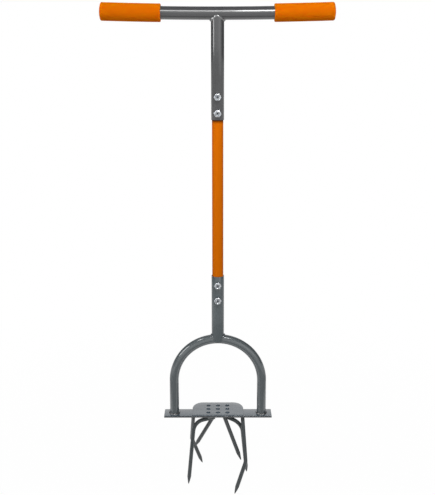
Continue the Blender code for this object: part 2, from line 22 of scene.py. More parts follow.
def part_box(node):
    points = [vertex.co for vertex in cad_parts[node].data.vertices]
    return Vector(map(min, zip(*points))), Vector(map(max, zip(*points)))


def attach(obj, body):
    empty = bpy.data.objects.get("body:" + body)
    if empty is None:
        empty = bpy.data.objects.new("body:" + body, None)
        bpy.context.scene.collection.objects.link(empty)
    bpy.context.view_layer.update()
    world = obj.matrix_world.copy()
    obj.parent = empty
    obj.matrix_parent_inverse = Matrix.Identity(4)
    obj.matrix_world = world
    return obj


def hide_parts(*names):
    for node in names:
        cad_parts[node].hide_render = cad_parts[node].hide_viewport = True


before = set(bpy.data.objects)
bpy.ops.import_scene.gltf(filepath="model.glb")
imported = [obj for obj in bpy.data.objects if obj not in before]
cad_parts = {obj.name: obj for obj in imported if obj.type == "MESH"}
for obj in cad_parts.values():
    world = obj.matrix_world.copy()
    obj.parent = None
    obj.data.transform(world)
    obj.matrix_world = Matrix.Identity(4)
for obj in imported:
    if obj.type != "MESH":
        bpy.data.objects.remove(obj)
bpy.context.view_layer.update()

LOG = logging.getLogger("claw_cultivator")
MM = 0.001
BODY = "root"
ALONG_Y = Vector((0.0, 1.0, 0.0))
UP = Vector((0.0, 0.0, 1.0))
QUARTER = math.pi / 2.0  # of a turn
STEM_RADIUS = 12.7 * MM
STEM_WALL = 1.2 * MM
TOUCH_GAP = 0.3 * MM  # between solids that touch in the real tool
SUNK = 0.12 * MM  # how far a bead's toes go into the metal

Ring = list[Vector]
Pair = tuple[float, float]
Triple = tuple[float, float, float]
Profile = Sequence[Pair]


class Slot(Enum):
    """The record's material slots."""

    GREY = "grey_paint"
    ORANGE = "orange_paint"
    FOAM = "orange_foam"
    ZINC = "bright_zinc"


class Side(Enum):
    """The two sides of the tool, with the turn about the stem that takes the left one there."""

    LEFT = 0.0
    RIGHT = math.pi

    @property
    def word(self) -> str:
        """The side's name as the nodes spell it."""
        return self.name.lower()

    @property
    def sign(self) -> float:
        """The sign of X on that side."""
        return -1.0 if self is Side.LEFT else 1.0


class Signal:
    """One output of a shader's nodes, on which Python's sums add Math nodes."""

    def __init__(self, sheet: NodeSheet, socket: bpy.types.NodeSocket) -> None:
        """Keep the output and the sheet that it is on."""
        self.sheet = sheet
        self.socket = socket

    def _sum(self, operation: str, first: Signal | float, second: Signal | float) -> Signal:
        """Return a Math node's result for the values before and after an operator."""
        return self.sheet.add("ShaderNodeMath", {0: first, 1: second}, operation=operation)

    def __add__(self, other: Signal | float) -> Signal:
        """Add a value."""
        return self._sum("ADD", self, other)

    def __radd__(self, other: float) -> Signal:
        """Add to a number."""
        return self._sum("ADD", other, self)

    def __sub__(self, other: Signal | float) -> Signal:
        """Take a value away."""
        return self._sum("SUBTRACT", self, other)

    def __rsub__(self, other: float) -> Signal:
        """Take this away from a number."""
        return self._sum("SUBTRACT", other, self)

    def __mul__(self, other: Signal | float) -> Signal:
        """Multiply by a value."""
        return self._sum("MULTIPLY", self, other)

    def __rmul__(self, other: float) -> Signal:
        """Multiply a number."""
        return self._sum("MULTIPLY", other, self)

    def eased(self, none: float, full: float) -> Signal:
        """Return a smooth step from 0, at the first of two values, to 1, at the second."""
        return self.sheet.add("ShaderNodeMapRange", {"Value": self, "From Min": none, "From Max": full},
                              interpolation_type="SMOOTHSTEP")


class NodeSheet:
    """The nodes of one material or of the world."""

    def __init__(self, tree: bpy.types.NodeTree) -> None:
        """Keep the node tree."""
        self.tree = tree

    def add(self, kind: str, sockets: dict[str | int, Any] | None = None, output: str | int = 0,
            **settings: Any) -> Signal:
        """Add a node.

        Args:
            kind: the node's type.
            sockets: a value or a Signal for each named or numbered input.
            output: which output to return.
            settings: the node's properties, which are set first.

        Returns:
            That output.
        """
        node = self.tree.nodes.new(kind)
        for name, value in settings.items():
            setattr(node, name, value)
        for name, value in (sockets or {}).items():
            self.feed(node.inputs[name], value)
        return Signal(self, node.outputs[output])

    def feed(self, socket: bpy.types.NodeSocket, value: Any) -> None:
        """Give an input a value or a link.

        Args:
            socket: the input.
            value: a Signal to link, or a plain value.
        """
        if isinstance(value, Signal):
            self.tree.links.new(value.socket, socket)
        else:
            socket.default_value = value

    def place(self) -> Signal:
        """Return the point on the tool, in metres."""
        return self.add("ShaderNodeTexCoord", output="Object")

    def along(self, place: Signal, axis: str) -> Signal:
        """Return a point's "X", "Y" or "Z"."""
        return self.add("ShaderNodeSeparateXYZ", {0: place}, axis)

    def cloud(self, place: Signal, per_metre: float, detail: float = 2.0) -> Signal:
        """Return soft noise about 0.5, with its scale and its octaves."""
        return self.add("ShaderNodeTexNoise", {"Vector": place, "Scale": per_metre, "Detail": detail})

    def cells(self, place: Signal, per_metre: float, output: str) -> Signal:
        """Return a Voronoi texture's "Distance" to a cell's middle, or the cell's own "Color"."""
        return self.add("ShaderNodeTexVoronoi", {"Vector": place, "Scale": per_metre}, output)

    def blend(self, share: Signal | float, start: Signal | Triple, end: Signal | Triple) -> Signal:
        """Return a colour, from the start at a share of 0 to the end at 1."""
        colours = [value if isinstance(value, Signal) else (*value, 1.0) for value in (start, end)]
        return self.add("ShaderNodeMix", {0: share, 6: colours[0], 7: colours[1]}, 2, data_type="RGBA")

    def tinge(self, share: Signal, colour: Triple, tints: Pair) -> Signal:
        """Return a colour, times the first tint at a share of 0 and the second at 1."""
        return self.blend(share, *(tuple(channel * tint for channel in colour) for tint in tints))

    def glowing(self, colour: Signal | Sequence[float], strength: Signal | float) -> Signal:
        """Return a matt shader of a colour that adds white light of a strength to its own shade."""
        surface = self.add("ShaderNodeBsdfDiffuse", {"Color": colour})
        return self.add("ShaderNodeAddShader",
                        {0: surface, 1: self.add("ShaderNodeEmission", {"Strength": strength})})

    def bump(self, height: Signal, depth: float) -> Signal:
        """Return a normal that follows a relief from 0 to 1, of a depth in metres."""
        return self.add("ShaderNodeBump", {"Strength": 1.0, "Distance": depth, "Height": height})


class Coat:
    """A Principled material under construction."""

    def __init__(self, name: str, **steady: Any) -> None:
        """Start a material.

        Args:
            name: its name.
            steady: the values that are the same all over, as wear() takes them.
        """
        self.material = bpy.data.materials.new(name)
        self.material.use_nodes = True
        self.sheet = NodeSheet(self.material.node_tree)
        self.wear(**steady)

    def wear(self, **values: Any) -> bpy.types.Material:
        """Set or feed the shader's sockets.

        Args:
            values: a plain value or a Signal for each socket, by its name with _ for spaces.

        Returns:
            The material.
        """
        shader = self.material.node_tree.nodes["Principled BSDF"]
        for name, value in values.items():
            self.sheet.feed(shader.inputs[name.replace("_", " ")], value)
        return self.material


@dataclass(frozen=True)
class PowderCoat:
    """Baked powder paint with a faint drift of shade, fine flecks and orange peel.

    It is darkened below a height, or above it where the fade is negative. On the tine points that is
    worn paint; at the upper stem's lower rim and the foot bar's front edge it is painted shade, and on
    the orange tube under that rim it is a painted shadow.
    """

    name: str
    colour: Triple
    roughness: float = 0.3
    metallic: float = 0.1
    specular: float = 0.95
    gloss: float = 1.0
    gloss_roughness: float = 0.12
    gloss_index: float = 1.7
    drift: float = 0.05
    drift_per_metre: float = 22.0
    drift_matt: float = 0.10
    fleck: float = 0.05
    fleck_per_metre: float = 2600.0
    fleck_matt: float = 0.06
    peel: float = 0.015 * MM
    peel_per_metre: Pair = (420.0, 1900.0)
    peel_shares: Pair = (0.8, 0.2)
    wear_and_shade_height: float | None = None
    wear_and_shade_fade: float = 16 * MM
    wear_and_shade_factor: float = 0.45
    wear_and_shade_ragged: float = 6 * MM
    worn_per_metre: float = 180.0
    wear_and_shade_matt: float = 0.12

    def material(self) -> bpy.types.Material:
        """Return the paint as a new material."""
        coat = Coat(self.name, Roughness=self.roughness, Metallic=self.metallic,
                    Specular_IOR_Level=self.specular, Coat_Weight=self.gloss,
                    Coat_Roughness=self.gloss_roughness, Coat_IOR=self.gloss_index)
        sheet = coat.sheet
        place = sheet.place()
        drift = sheet.cloud(place, self.drift_per_metre, detail=3.0)
        fleck = sheet.add("ShaderNodeSeparateColor", {0: sheet.cells(place, self.fleck_per_metre, "Color")})
        spread = self.drift + self.fleck
        share = drift * (self.drift / spread) + fleck * (self.fleck / spread)
        colour = sheet.tinge(share, self.colour, (1.0 - spread, 1.0 + spread))
        least = self.roughness - (self.drift_matt + self.fleck_matt) / 2.0
        roughness = drift * self.drift_matt + fleck * self.fleck_matt + least
        # Darker below the height (above it for a negative fade): worn paint on tine points, painted shade at
        # rims and edges
        if self.wear_and_shade_height is not None:
            ragged = sheet.along(place, "Z") + sheet.cloud(place, self.worn_per_metre) * self.wear_and_shade_ragged
            wear_and_shade = ragged.eased(self.wear_and_shade_height + self.wear_and_shade_fade, self.wear_and_shade_height)
            colour = sheet.blend(wear_and_shade, colour, tuple(channel * self.wear_and_shade_factor for channel in self.colour))
            roughness = roughness + wear_and_shade * self.wear_and_shade_matt
        broad, fine = (sheet.cloud(place, per_metre, detail=1.0) * part
                       for per_metre, part in zip(self.peel_per_metre, self.peel_shares))
        return coat.wear(Base_Color=colour, Roughness=roughness, Normal=sheet.bump(broad + fine, self.peel))


@dataclass(frozen=True)
class FoamRubber:
    """Closed cell foam: matt, with fine and finer cells and a soft unevenness of shade."""

    name: str
    colour: Triple
    roughness: float = 0.78
    specular: float = 0.02
    cell_per_metre: float = 1100.0
    fine_ratio: float = 2.6
    broad_per_metre: float = 60.0
    shade_shares: Triple = (0.5, 0.35, 0.15)
    shades: Pair = (1.06, 0.90)
    relief_shares: Pair = (0.7, 0.3)
    cell_depth: float = 0.06 * MM
    matt: float = 0.12
    glow: float = 0.7
    glow_depth: float = 14 * MM
    glow_reach: Triple = (1.0, 0.6, 0.3)

    def material(self) -> bpy.types.Material:
        """Return the foam as a new material."""
        coat = Coat(self.name, Roughness=self.roughness, Specular_IOR_Level=self.specular,
                    Subsurface_Weight=self.glow, Subsurface_Scale=self.glow_depth,
                    Subsurface_Radius=self.glow_reach)
        sheet = coat.sheet
        place = sheet.place()
        broad = sheet.cloud(place, self.broad_per_metre, detail=3.0)
        cell = sheet.cells(place, self.cell_per_metre, "Distance")
        fine = sheet.cells(place, self.cell_per_metre * self.fine_ratio, "Distance")
        broad_share, cell_share, fine_share = self.shade_shares
        share = broad * broad_share + cell * cell_share + fine * fine_share
        relief = 1.0 - (cell * self.relief_shares[0] + fine * self.relief_shares[1])
        return coat.wear(Base_Color=sheet.tinge(share, self.colour, self.shades),
                         Roughness=broad * self.matt + (self.roughness - self.matt / 2.0),
                         Normal=sheet.bump(relief, self.cell_depth))


@dataclass(frozen=True)
class ZincPlate:
    """Zinc plating with a patchy cast of a second colour and a fine grain."""

    name: str
    colour: Triple
    cast: Triple
    roughness: float
    cast_per_metre: float = 260.0
    cast_edges: Pair = (0.35, 0.7)
    cast_matt: float = 0.10
    grain_per_metre: float = 2400.0
    grain_matt: float = 0.16
    grain_depth: float = 0.02 * MM

    def material(self) -> bpy.types.Material:
        """Return the plating as a new material."""
        coat = Coat(self.name, Roughness=self.roughness, Metallic=1.0)
        sheet = coat.sheet
        cast = sheet.cloud(sheet.place(), self.cast_per_metre)
        grain = sheet.cloud(sheet.place(), self.grain_per_metre)
        least = self.roughness - (self.grain_matt + self.cast_matt) / 2.0
        return coat.wear(Base_Color=sheet.blend(cast.eased(*self.cast_edges), self.colour, self.cast),
                         Roughness=grain * self.grain_matt + cast * self.cast_matt + least,
                         Normal=sheet.bump(grain, self.grain_depth))


@dataclass(frozen=True)
class Nylon:
    """Milky nylon with a faint unevenness."""

    name: str
    colour: Triple
    roughness: float = 0.42
    haze_per_metre: float = 900.0
    haze_depth: float = 0.02 * MM
    shades: Pair = (0.92, 1.06)
    matt: float = 0.1

    def material(self) -> bpy.types.Material:
        """Return the nylon as a new material."""
        coat = Coat(self.name, Roughness=self.roughness)
        sheet = coat.sheet
        haze = sheet.cloud(sheet.place(), self.haze_per_metre)
        return coat.wear(Base_Color=sheet.tinge(haze, self.colour, self.shades),
                         Roughness=haze * self.matt + (self.roughness - self.matt / 2.0),
                         Normal=sheet.bump(haze, self.haze_depth))


def in_mm(*pairs: Pair) -> tuple[Pair, ...]:
    """Return pairs of lengths in metres, from pairs in millimetres."""
    return tuple((first * MM, second * MM) for first, second in pairs)


def shares(steps: int) -> list[float]:
    """Return evenly spaced shares, from 0 to 1."""
    return [step / steps for step in range(steps + 1)]


def smooth(share: float) -> float:
    """Return a share from 0 to 1 eased at both ends."""
    return share * share * (3.0 - 2.0 * share)


def circle(count: int) -> list[float]:
    """Return the turns of evenly spaced points round a circle."""
    return [2.0 * math.pi * index / count for index in range(count)]


def heading(turn: float) -> Vector:
    """Return the level direction at a turn from +X."""
    return Vector((math.cos(turn), math.sin(turn), 0.0))


def ring(centre: Vector, along: Vector, radius: float, sides: int) -> Ring:
    """Return a ring of points.

    Args:
        centre: the ring's middle.
        along: the direction that it is square to, which is never along Y.
        radius: the ring's radius.
        sides: how many points it has.

    Returns:
        The points, in order.
    """
    across = ALONG_Y.cross(along).normalized()
    up = along.normalized().cross(across)
    return [centre + (across * math.cos(turn) + up * math.sin(turn)) * radius for turn in circle(sides)]


def swept(path: Sequence[Vector], radii: Sequence[float], sides: int) -> list[Ring]:
    """Return rings along a path that never runs along Y.

    Args:
        path: the rings' middles.
        radii: their radii.
        sides: how many points each has.

    Returns:
        The rings, in order.
    """
    padded = [path[0], *path, path[-1]]
    runs = [after - before for before, after in zip(padded, padded[2:])]
    return [ring(centre, run, radius, sides) for centre, run, radius in zip(path, runs, radii)]


def bent_path(start: Vector, corner: Vector, end: Vector, bend: float, steps: int) -> list[Vector]:
    """Return the centre line of a rod that is bent once.

    Args:
        start: its first point.
        corner: where its two straights would meet.
        end: its last point.
        bend: the bend's radius.
        steps: how many steps the bend takes.

    Returns:
        The line's points.
    """
    back, on = (start - corner).normalized(), (end - corner).normalized()
    half = back.angle(on) / 2.0
    centre = corner + (back + on).normalized() * (bend / math.sin(half))
    first, last = (corner + way * (bend / math.tan(half)) - centre for way in (back, on))
    sweep = first.angle(last)
    curve = [centre + (first * math.sin((1.0 - share) * sweep) + last * math.sin(share * sweep))
             / math.sin(sweep) for share in shares(steps)]
    return [start, *curve, end]


def levelled(points: Ring, run: Vector, height: float) -> Ring:
    """Return a ring whose points are slid along a run to one height."""
    return [point + run * ((height - point.z) / run.z) for point in points]


def placed(name: str, data: bpy.types.ID) -> bpy.types.Object:
    """Put a mesh, lamp or camera into the scene.

    Args:
        name: the object's name.
        data: what it shows.

    Returns:
        The object.
    """
    made = bpy.data.objects.new(name, data)
    bpy.context.scene.collection.objects.link(made)
    return made


class Workshop:
    """Makes meshes from rings and shows them as pieces that ride on the tool."""

    sharp_above: float = math.radians(38.0)

    def __init__(self) -> None:
        """Start with no pieces."""
        self.pieces: list[bpy.types.Object] = []

    def mesh(self, name: str, build: bmesh.types.BMesh) -> bpy.types.Mesh:
        """Turn a mesh's faces out and shade it.

        Args:
            name: the mesh's name.
            build: the mesh under construction, which is freed.

        Returns:
            The finished mesh.
        """
        bmesh.ops.recalc_face_normals(build, faces=build.faces)
        made = bpy.data.meshes.new(name)
        build.to_mesh(made)
        build.free()
        made.shade_smooth()
        made.set_sharp_from_angle(angle=self.sharp_above)
        return made

    @staticmethod
    def skin(build: bmesh.types.BMesh, rings: Sequence[Ring], looped: bool) -> list[list[bmesh.types.BMVert]]:
        """Stretch a skin of quads over rings.

        Args:
            build: the mesh under construction.
            rings: rings that have the same number of points.
            looped: whether the last ring joins the first.

        Returns:
            Each ring's vertices.
        """
        loops = [[build.verts.new(point) for point in points] for points in rings]
        for here, there in zip(loops, loops[1:] + loops[:int(looped)]):
            for corners in zip(here, here[1:] + here[:1], there[1:] + there[:1], there):
                build.faces.new(corners)
        return loops

    def loft(self, name: str, rings: Sequence[Ring], looped: bool = False) -> bpy.types.Mesh:
        """Join rings in order.

        Args:
            name: the mesh's name.
            rings: rings that have the same number of points.
            looped: whether the last ring joins the first, where the ends are otherwise capped.

        Returns:
            The closed mesh.
        """
        build = bmesh.new()
        loops = self.skin(build, rings, looped)
        if not looped:
            build.faces.new(loops[0])
            build.faces.new(loops[-1])
        return self.mesh(name, build)

    def tube(self, name: str, radius: float, wall: float,
             skin: Callable[[float], list[Ring]]) -> bpy.types.Mesh:
        """Join a tube's outer and inner skin at its two open ends, from the skin that a radius gives."""
        return self.loft(name, skin(radius) + skin(radius - wall)[::-1], looped=True)

    def show(self, name: str, mesh: bpy.types.Mesh, material: bpy.types.Material, slot: Slot,
             node: str | None = None) -> bpy.types.Object:
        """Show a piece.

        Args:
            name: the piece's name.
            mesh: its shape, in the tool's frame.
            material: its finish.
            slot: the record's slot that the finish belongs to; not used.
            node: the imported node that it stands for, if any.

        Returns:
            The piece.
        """
        piece = placed(name, mesh)
        mesh.materials.append(material)
        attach(piece, BODY)
        if node:
            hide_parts(node)
        self.pieces.append(piece)
        LOG.info("%s: %d faces", name, len(mesh.polygons))
        return piece


@dataclass(frozen=True)
class Section:
    """One section through a weld bead."""

    root: Vector
    first_toe: Vector
    second_toe: Vector
    outward: Vector


@dataclass(frozen=True)
class Bead:
    """How a weld bead is laid."""

    swell: float = 0.8 * MM
    pitch: float = 1.5 * MM
    ripple: float = 0.45
    lag: float = 0.8
    face_steps: int = 8
    end_run: float = 2.0 * MM
    end_share: float = 0.25

    def mesh(self, shop: Workshop, name: str, sections: Sequence[Section], closed: bool) -> bpy.types.Mesh:
        """Lay the bead through its sections.

        Args:
            shop: makes the mesh.
            name: the mesh's name.
            sections: the sections, in order along the bead.
            closed: whether the bead runs round to its start.

        Returns:
            The rippled bead, with drawn in ends where it is open.
        """
        middles = [(section.first_toe + section.second_toe) / 2.0 for section in sections]
        run = [0.0]
        for before, after in zip(middles, middles[1:]):
            run.append(run[-1] + (after - before).length)
        whole = run[-1] + ((middles[0] - middles[-1]).length if closed else 0.0)
        pitch = whole / max(1, round(whole / self.pitch))
        rings = []
        for section, distance in zip(sections, run):
            from_end = 1.0 if closed else min(distance / self.end_run, (whole - distance) / self.end_run, 1.0)
            size = self.end_share + (1.0 - self.end_share) * math.sqrt(from_end)
            rings.append(self.outline(section, distance / pitch, size))
        return shop.loft(name, rings, looped=closed)

    def outline(self, section: Section, phase: float, size: float) -> Ring:
        """Return the outline of one section.

        Args:
            section: the section.
            phase: how many ripples lie before it.
            size: the share of its full size that it has.

        Returns:
            The section's points, from its root round its face.
        """
        points = [section.root]
        for share in shares(self.face_steps):
            arch = math.sin(math.pi * share)
            wave = abs(math.sin(math.pi * (phase + self.lag * arch)))
            height = self.swell * arch * (1.0 - self.ripple + self.ripple * wave)
            point = section.first_toe.lerp(section.second_toe, share) + section.outward * height
            points.append(section.root.lerp(point, size))
        return points


@dataclass
class Handle:
    """The bowed handlebar, its two foam grips and the weld under it."""

    shop: Workshop
    paint: bpy.types.Material
    bead_paint: bpy.types.Material
    foam: bpy.types.Material
    span: float = 448 * MM
    radius: float = 12.7 * MM
    wall: float = 1.5 * MM
    bow: float = 3.6 * MM
    sides: int = 72
    bar_steps: int = 44
    grip_length: float = 116 * MM
    grip_wall: float = 4.4 * MM
    grip_steps: int = 40
    end_wall: float = 4 * MM
    end_round: float = 3 * MM
    end_dome: float = 52 * MM
    end_shares: tuple[float, ...] = (0.85, 0.7, 0.5, 0.3, 0.12)
    mouth_round: float = 1.6 * MM
    edge_steps: int = 8
    dent_depth: float = 0.12 * MM
    dents_per_metre: float = 70.0
    weld_leg: float = 2.7 * MM
    weld_root: float = MM
    peak_drop: float = 4.7 * MM
    peak_gap: float = 0.5 * MM
    weld_steps: int = 160
    axis: float = field(init=False)

    def __post_init__(self) -> None:
        """Read the bar's height off the frame."""
        self.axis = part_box("handlebar_tube")[0].z + self.radius

    def centre(self, x: float) -> Vector:
        """Return the point of the bar's centre line at a distance along X."""
        return Vector((x, 0.0, self.axis + self.bow * (2.0 * x / self.span) ** 2))

    def rings(self, places: Profile) -> list[Ring]:
        """Return rings round the bar's centre line, from the X and the radius of each."""
        return [ring(self.centre(x), self.centre(x + MM) - self.centre(x - MM), radius, self.sides)
                for x, radius in places]

    def bar_mesh(self) -> bpy.types.Mesh:
        """Return the bar's tube."""
        half = self.span / 2 - self.end_wall - TOUCH_GAP
        places = [half * (2.0 * share - 1.0) for share in shares(self.bar_steps)]
        return self.shop.tube("handlebar", self.radius, self.wall,
                              lambda radius: self.rings([(x, radius) for x in places]))

    @property
    def grip_radius(self) -> float:
        """The grips' outer radius."""
        return self.radius + TOUCH_GAP + self.grip_wall

    def edge(self, x: float, size: float, way: float) -> list[Pair]:
        """Return the places of rings that round a grip's edge: on from X, or back with a way of -1."""
        return [(x + way * size * math.sin(QUARTER * share),
                 self.grip_radius - size * (1.0 - math.cos(QUARTER * share)))
                for share in shares(self.edge_steps)]

    def dome(self, radius: float) -> float:
        """Return the X of a grip's domed end at a distance from its middle."""
        return self.span / 2 - self.end_dome + math.sqrt(self.end_dome ** 2 - radius ** 2)

    def grip_mesh(self, side: Side) -> bpy.types.Mesh:
        """Return one grip.

        Args:
            side: which grip.

        Returns:
            A sleeve with a rounded mouth and a closed, slightly domed end, its skin faintly uneven.
        """
        bore = self.radius + TOUCH_GAP
        face = self.grip_radius - self.end_round
        mouth = self.span / 2 - self.grip_length
        start = mouth + self.mouth_round
        stop = self.dome(face) - self.end_round
        inside = [(self.span / 2 - self.end_wall, bore), (mouth, bore)]
        cap = [(self.dome(face * share), face * share) for share in self.end_shares]
        places = inside + self.edge(start, self.mouth_round, -1.0)[::-1]
        places += [(start + (stop - start) * share, self.grip_radius)
                   for share in shares(self.grip_steps)[1:-1]]
        places += self.edge(stop, self.end_round, 1.0) + cap
        rings = self.rings([(side.sign * x, radius) for x, radius in places])
        for points in rings[len(inside):-len(cap)]:
            for point in points:
                out = Vector((0.0, point.y, point.z - self.axis)).normalized()
                dent = 0.5 + 0.5 * noise.noise(point * self.dents_per_metre)
                point -= out * (self.dent_depth * dent)
        return self.shop.loft("grip_" + side.word, rings)

    def weld_section(self, turn: float) -> Section:
        """Return the section through the weld under the bar.

        Args:
            turn: the turn round the stem.

        Returns:
            The section. The bead hangs lower in front and behind, where the stem meets the bar's side.
        """
        way = heading(turn)
        y = STEM_RADIUS * way.y
        seam = -math.sqrt((self.radius + TOUCH_GAP) ** 2 - y ** 2)
        front = way.y ** 2
        drop = self.weld_leg + (self.peak_drop - self.weld_leg) * front
        low = way * (STEM_RADIUS - SUNK) + UP * (seam - drop)
        across = Vector((0.0, y, seam - self.peak_gap * front)).normalized()
        high = Vector(((STEM_RADIUS + self.weld_leg) * way.x, 0.0, 0.0)) + across * (self.radius - SUNK)
        root = way * (STEM_RADIUS - self.wall) + UP * (seam + self.weld_root)
        lift = UP * self.axis
        return Section(root + lift, low + lift, high + lift, (way + across).normalized())

    def build(self) -> None:
        """Show the bar, both grips and the weld."""
        self.shop.show("handlebar", self.bar_mesh(), self.paint, Slot.GREY, "handlebar_tube")
        for side in Side:
            grip = self.shop.show(f"foam_grip_{side.word}", self.grip_mesh(side), self.foam, Slot.FOAM,
                                  f"grip_{side.word}")
        sections = [self.weld_section(turn) for turn in circle(self.weld_steps)]
        self.shop.show("handle_bead", Bead().mesh(self.shop, "handle_bead", sections, True), self.bead_paint,
                       Slot.GREY, "handle_weld")


@dataclass
class Arch:
    """The surface of the stirrup's bent tube, which the stem and its weld are fitted to."""

    tube_radius: float = 9.525 * MM
    arch_radius: float = 90.4 * MM
    ear_drop: float = 3 * MM
    centre: float = field(init=False)

    def __post_init__(self) -> None:
        """Read the height of the arch's centre off the frame."""
        self.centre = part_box("stirrup_tube")[1].z - self.tube_radius - self.arch_radius

    def top(self, x: float, y: float) -> float:
        """Return the height of the stem's lower end, which is coped over the tube.

        Args:
            x: the place along X.
            y: the place along Y.

        Returns:
            The height there. Beside the tube the stem's two ears hang down level.
        """
        if abs(y) >= self.tube_radius + TOUCH_GAP:
            return self.centre + self.arch_radius - self.ear_drop
        from_centre = self.arch_radius + math.sqrt((self.tube_radius + TOUCH_GAP) ** 2 - y ** 2)
        return self.centre + math.sqrt(from_centre ** 2 - x ** 2)

    def onto(self, point: Vector) -> tuple[Vector, Vector]:
        """Move a point to just inside the tube's skin.

        Args:
            point: the point.

        Returns:
            The point there and the tube's outward normal.
        """
        radial = Vector((point.x, 0.0, point.z - self.centre))
        middle = radial.normalized() * self.arch_radius + UP * self.centre
        out = (point - middle).normalized()
        return middle + out * (self.tube_radius - SUNK), out


@dataclass
class Stem:
    """The two coped stem tubes and the centre tube that joins them."""

    shop: Workshop
    arch: Arch
    handle: Handle
    upper_paint: bpy.types.Material
    lower_paint: bpy.types.Material
    centre_paint: bpy.types.Material
    centre_radius: float = 11.1 * MM
    centre_wall: float = 1.5 * MM
    centre_steps: int = 12
    rim_round: float = 0.25 * MM
    rim_profile: Profile = ((1.0, 0.0), (0.3, 0.3), (0.0, 1.0))
    clear_of_cope: float = 22 * MM
    peak_trim: float = 5 * MM
    sides: int = 120

    def skin(self, radius: float, height: Callable[[float, float], float]) -> Ring:
        """Return a ring round the stem whose height at X and Y a function gives."""
        spots = [heading(turn) * radius for turn in circle(self.sides)]
        return [Vector((spot.x, spot.y, height(spot.x, spot.y))) for spot in spots]

    def level(self, radius: float, height: float) -> Ring:
        """Return a level ring round the stem."""
        return self.skin(radius, lambda x, y: height)

    def stem_mesh(self, name: str, rim: float, inward: float,
                  cope: Callable[[float, float], float]) -> bpy.types.Mesh:
        """Return a stem tube.

        Args:
            name: the mesh's name.
            rim: the height of its open rim.
            inward: 1 if the tube runs up from the rim and -1 if it runs down.
            cope: gives the height of its coped end at X and Y.

        Returns:
            The tube, with its rim's edges rounded.
        """
        far = (cope(0.0, 0.0) + cope(STEM_RADIUS, 0.0)) / 2.0 - inward * self.clear_of_cope

        def skin(radius: float) -> list[Ring]:
            """Return the outer or the inner skin.

            Args:
                radius: the skin's radius.

            Returns:
                Its rings, from the rim on.
            """
            ease = math.copysign(self.rim_round, radius - (STEM_RADIUS - STEM_WALL / 2.0))
            rings = [self.level(radius - ease * inset, rim + inward * self.rim_round * rise)
                     for inset, rise in self.rim_profile]
            return rings + [self.level(radius, far), self.skin(radius, cope)]

        return self.shop.tube(name, STEM_RADIUS, STEM_WALL, skin)

    def handle_cope(self, x: float, y: float) -> float:
        """Return the height of the upper stem's end under the handlebar at X and Y."""
        drop = math.sqrt((self.handle.radius + TOUCH_GAP) ** 2 - y ** 2)
        return self.handle.axis - max(drop, self.peak_trim)

    def centre_mesh(self) -> bpy.types.Mesh:
        """Return the centre tube, over the whole length that the frame gives it."""
        low, high = (corner.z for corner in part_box("centre_tube"))
        heights = [low + (high - low) * share for share in shares(self.centre_steps)]
        return self.shop.tube("centre_tube", self.centre_radius, self.centre_wall,
                              lambda radius: [self.level(radius, height) for height in heights])

    def build(self) -> None:
        """Show the three tubes."""
        upper = self.stem_mesh("upper_stem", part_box("upper_stem_tube")[0].z, 1.0, self.handle_cope)
        self.shop.show("upper_stem", upper, self.upper_paint, Slot.GREY, "upper_stem_tube")
        lower = self.stem_mesh("lower_stem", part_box("lower_stem_tube")[1].z, -1.0, self.arch.top)
        self.shop.show("lower_stem", lower, self.lower_paint, Slot.GREY, "lower_stem_tube")
        self.shop.show("orange_tube", self.centre_mesh(), self.centre_paint, Slot.ORANGE, "centre_tube")


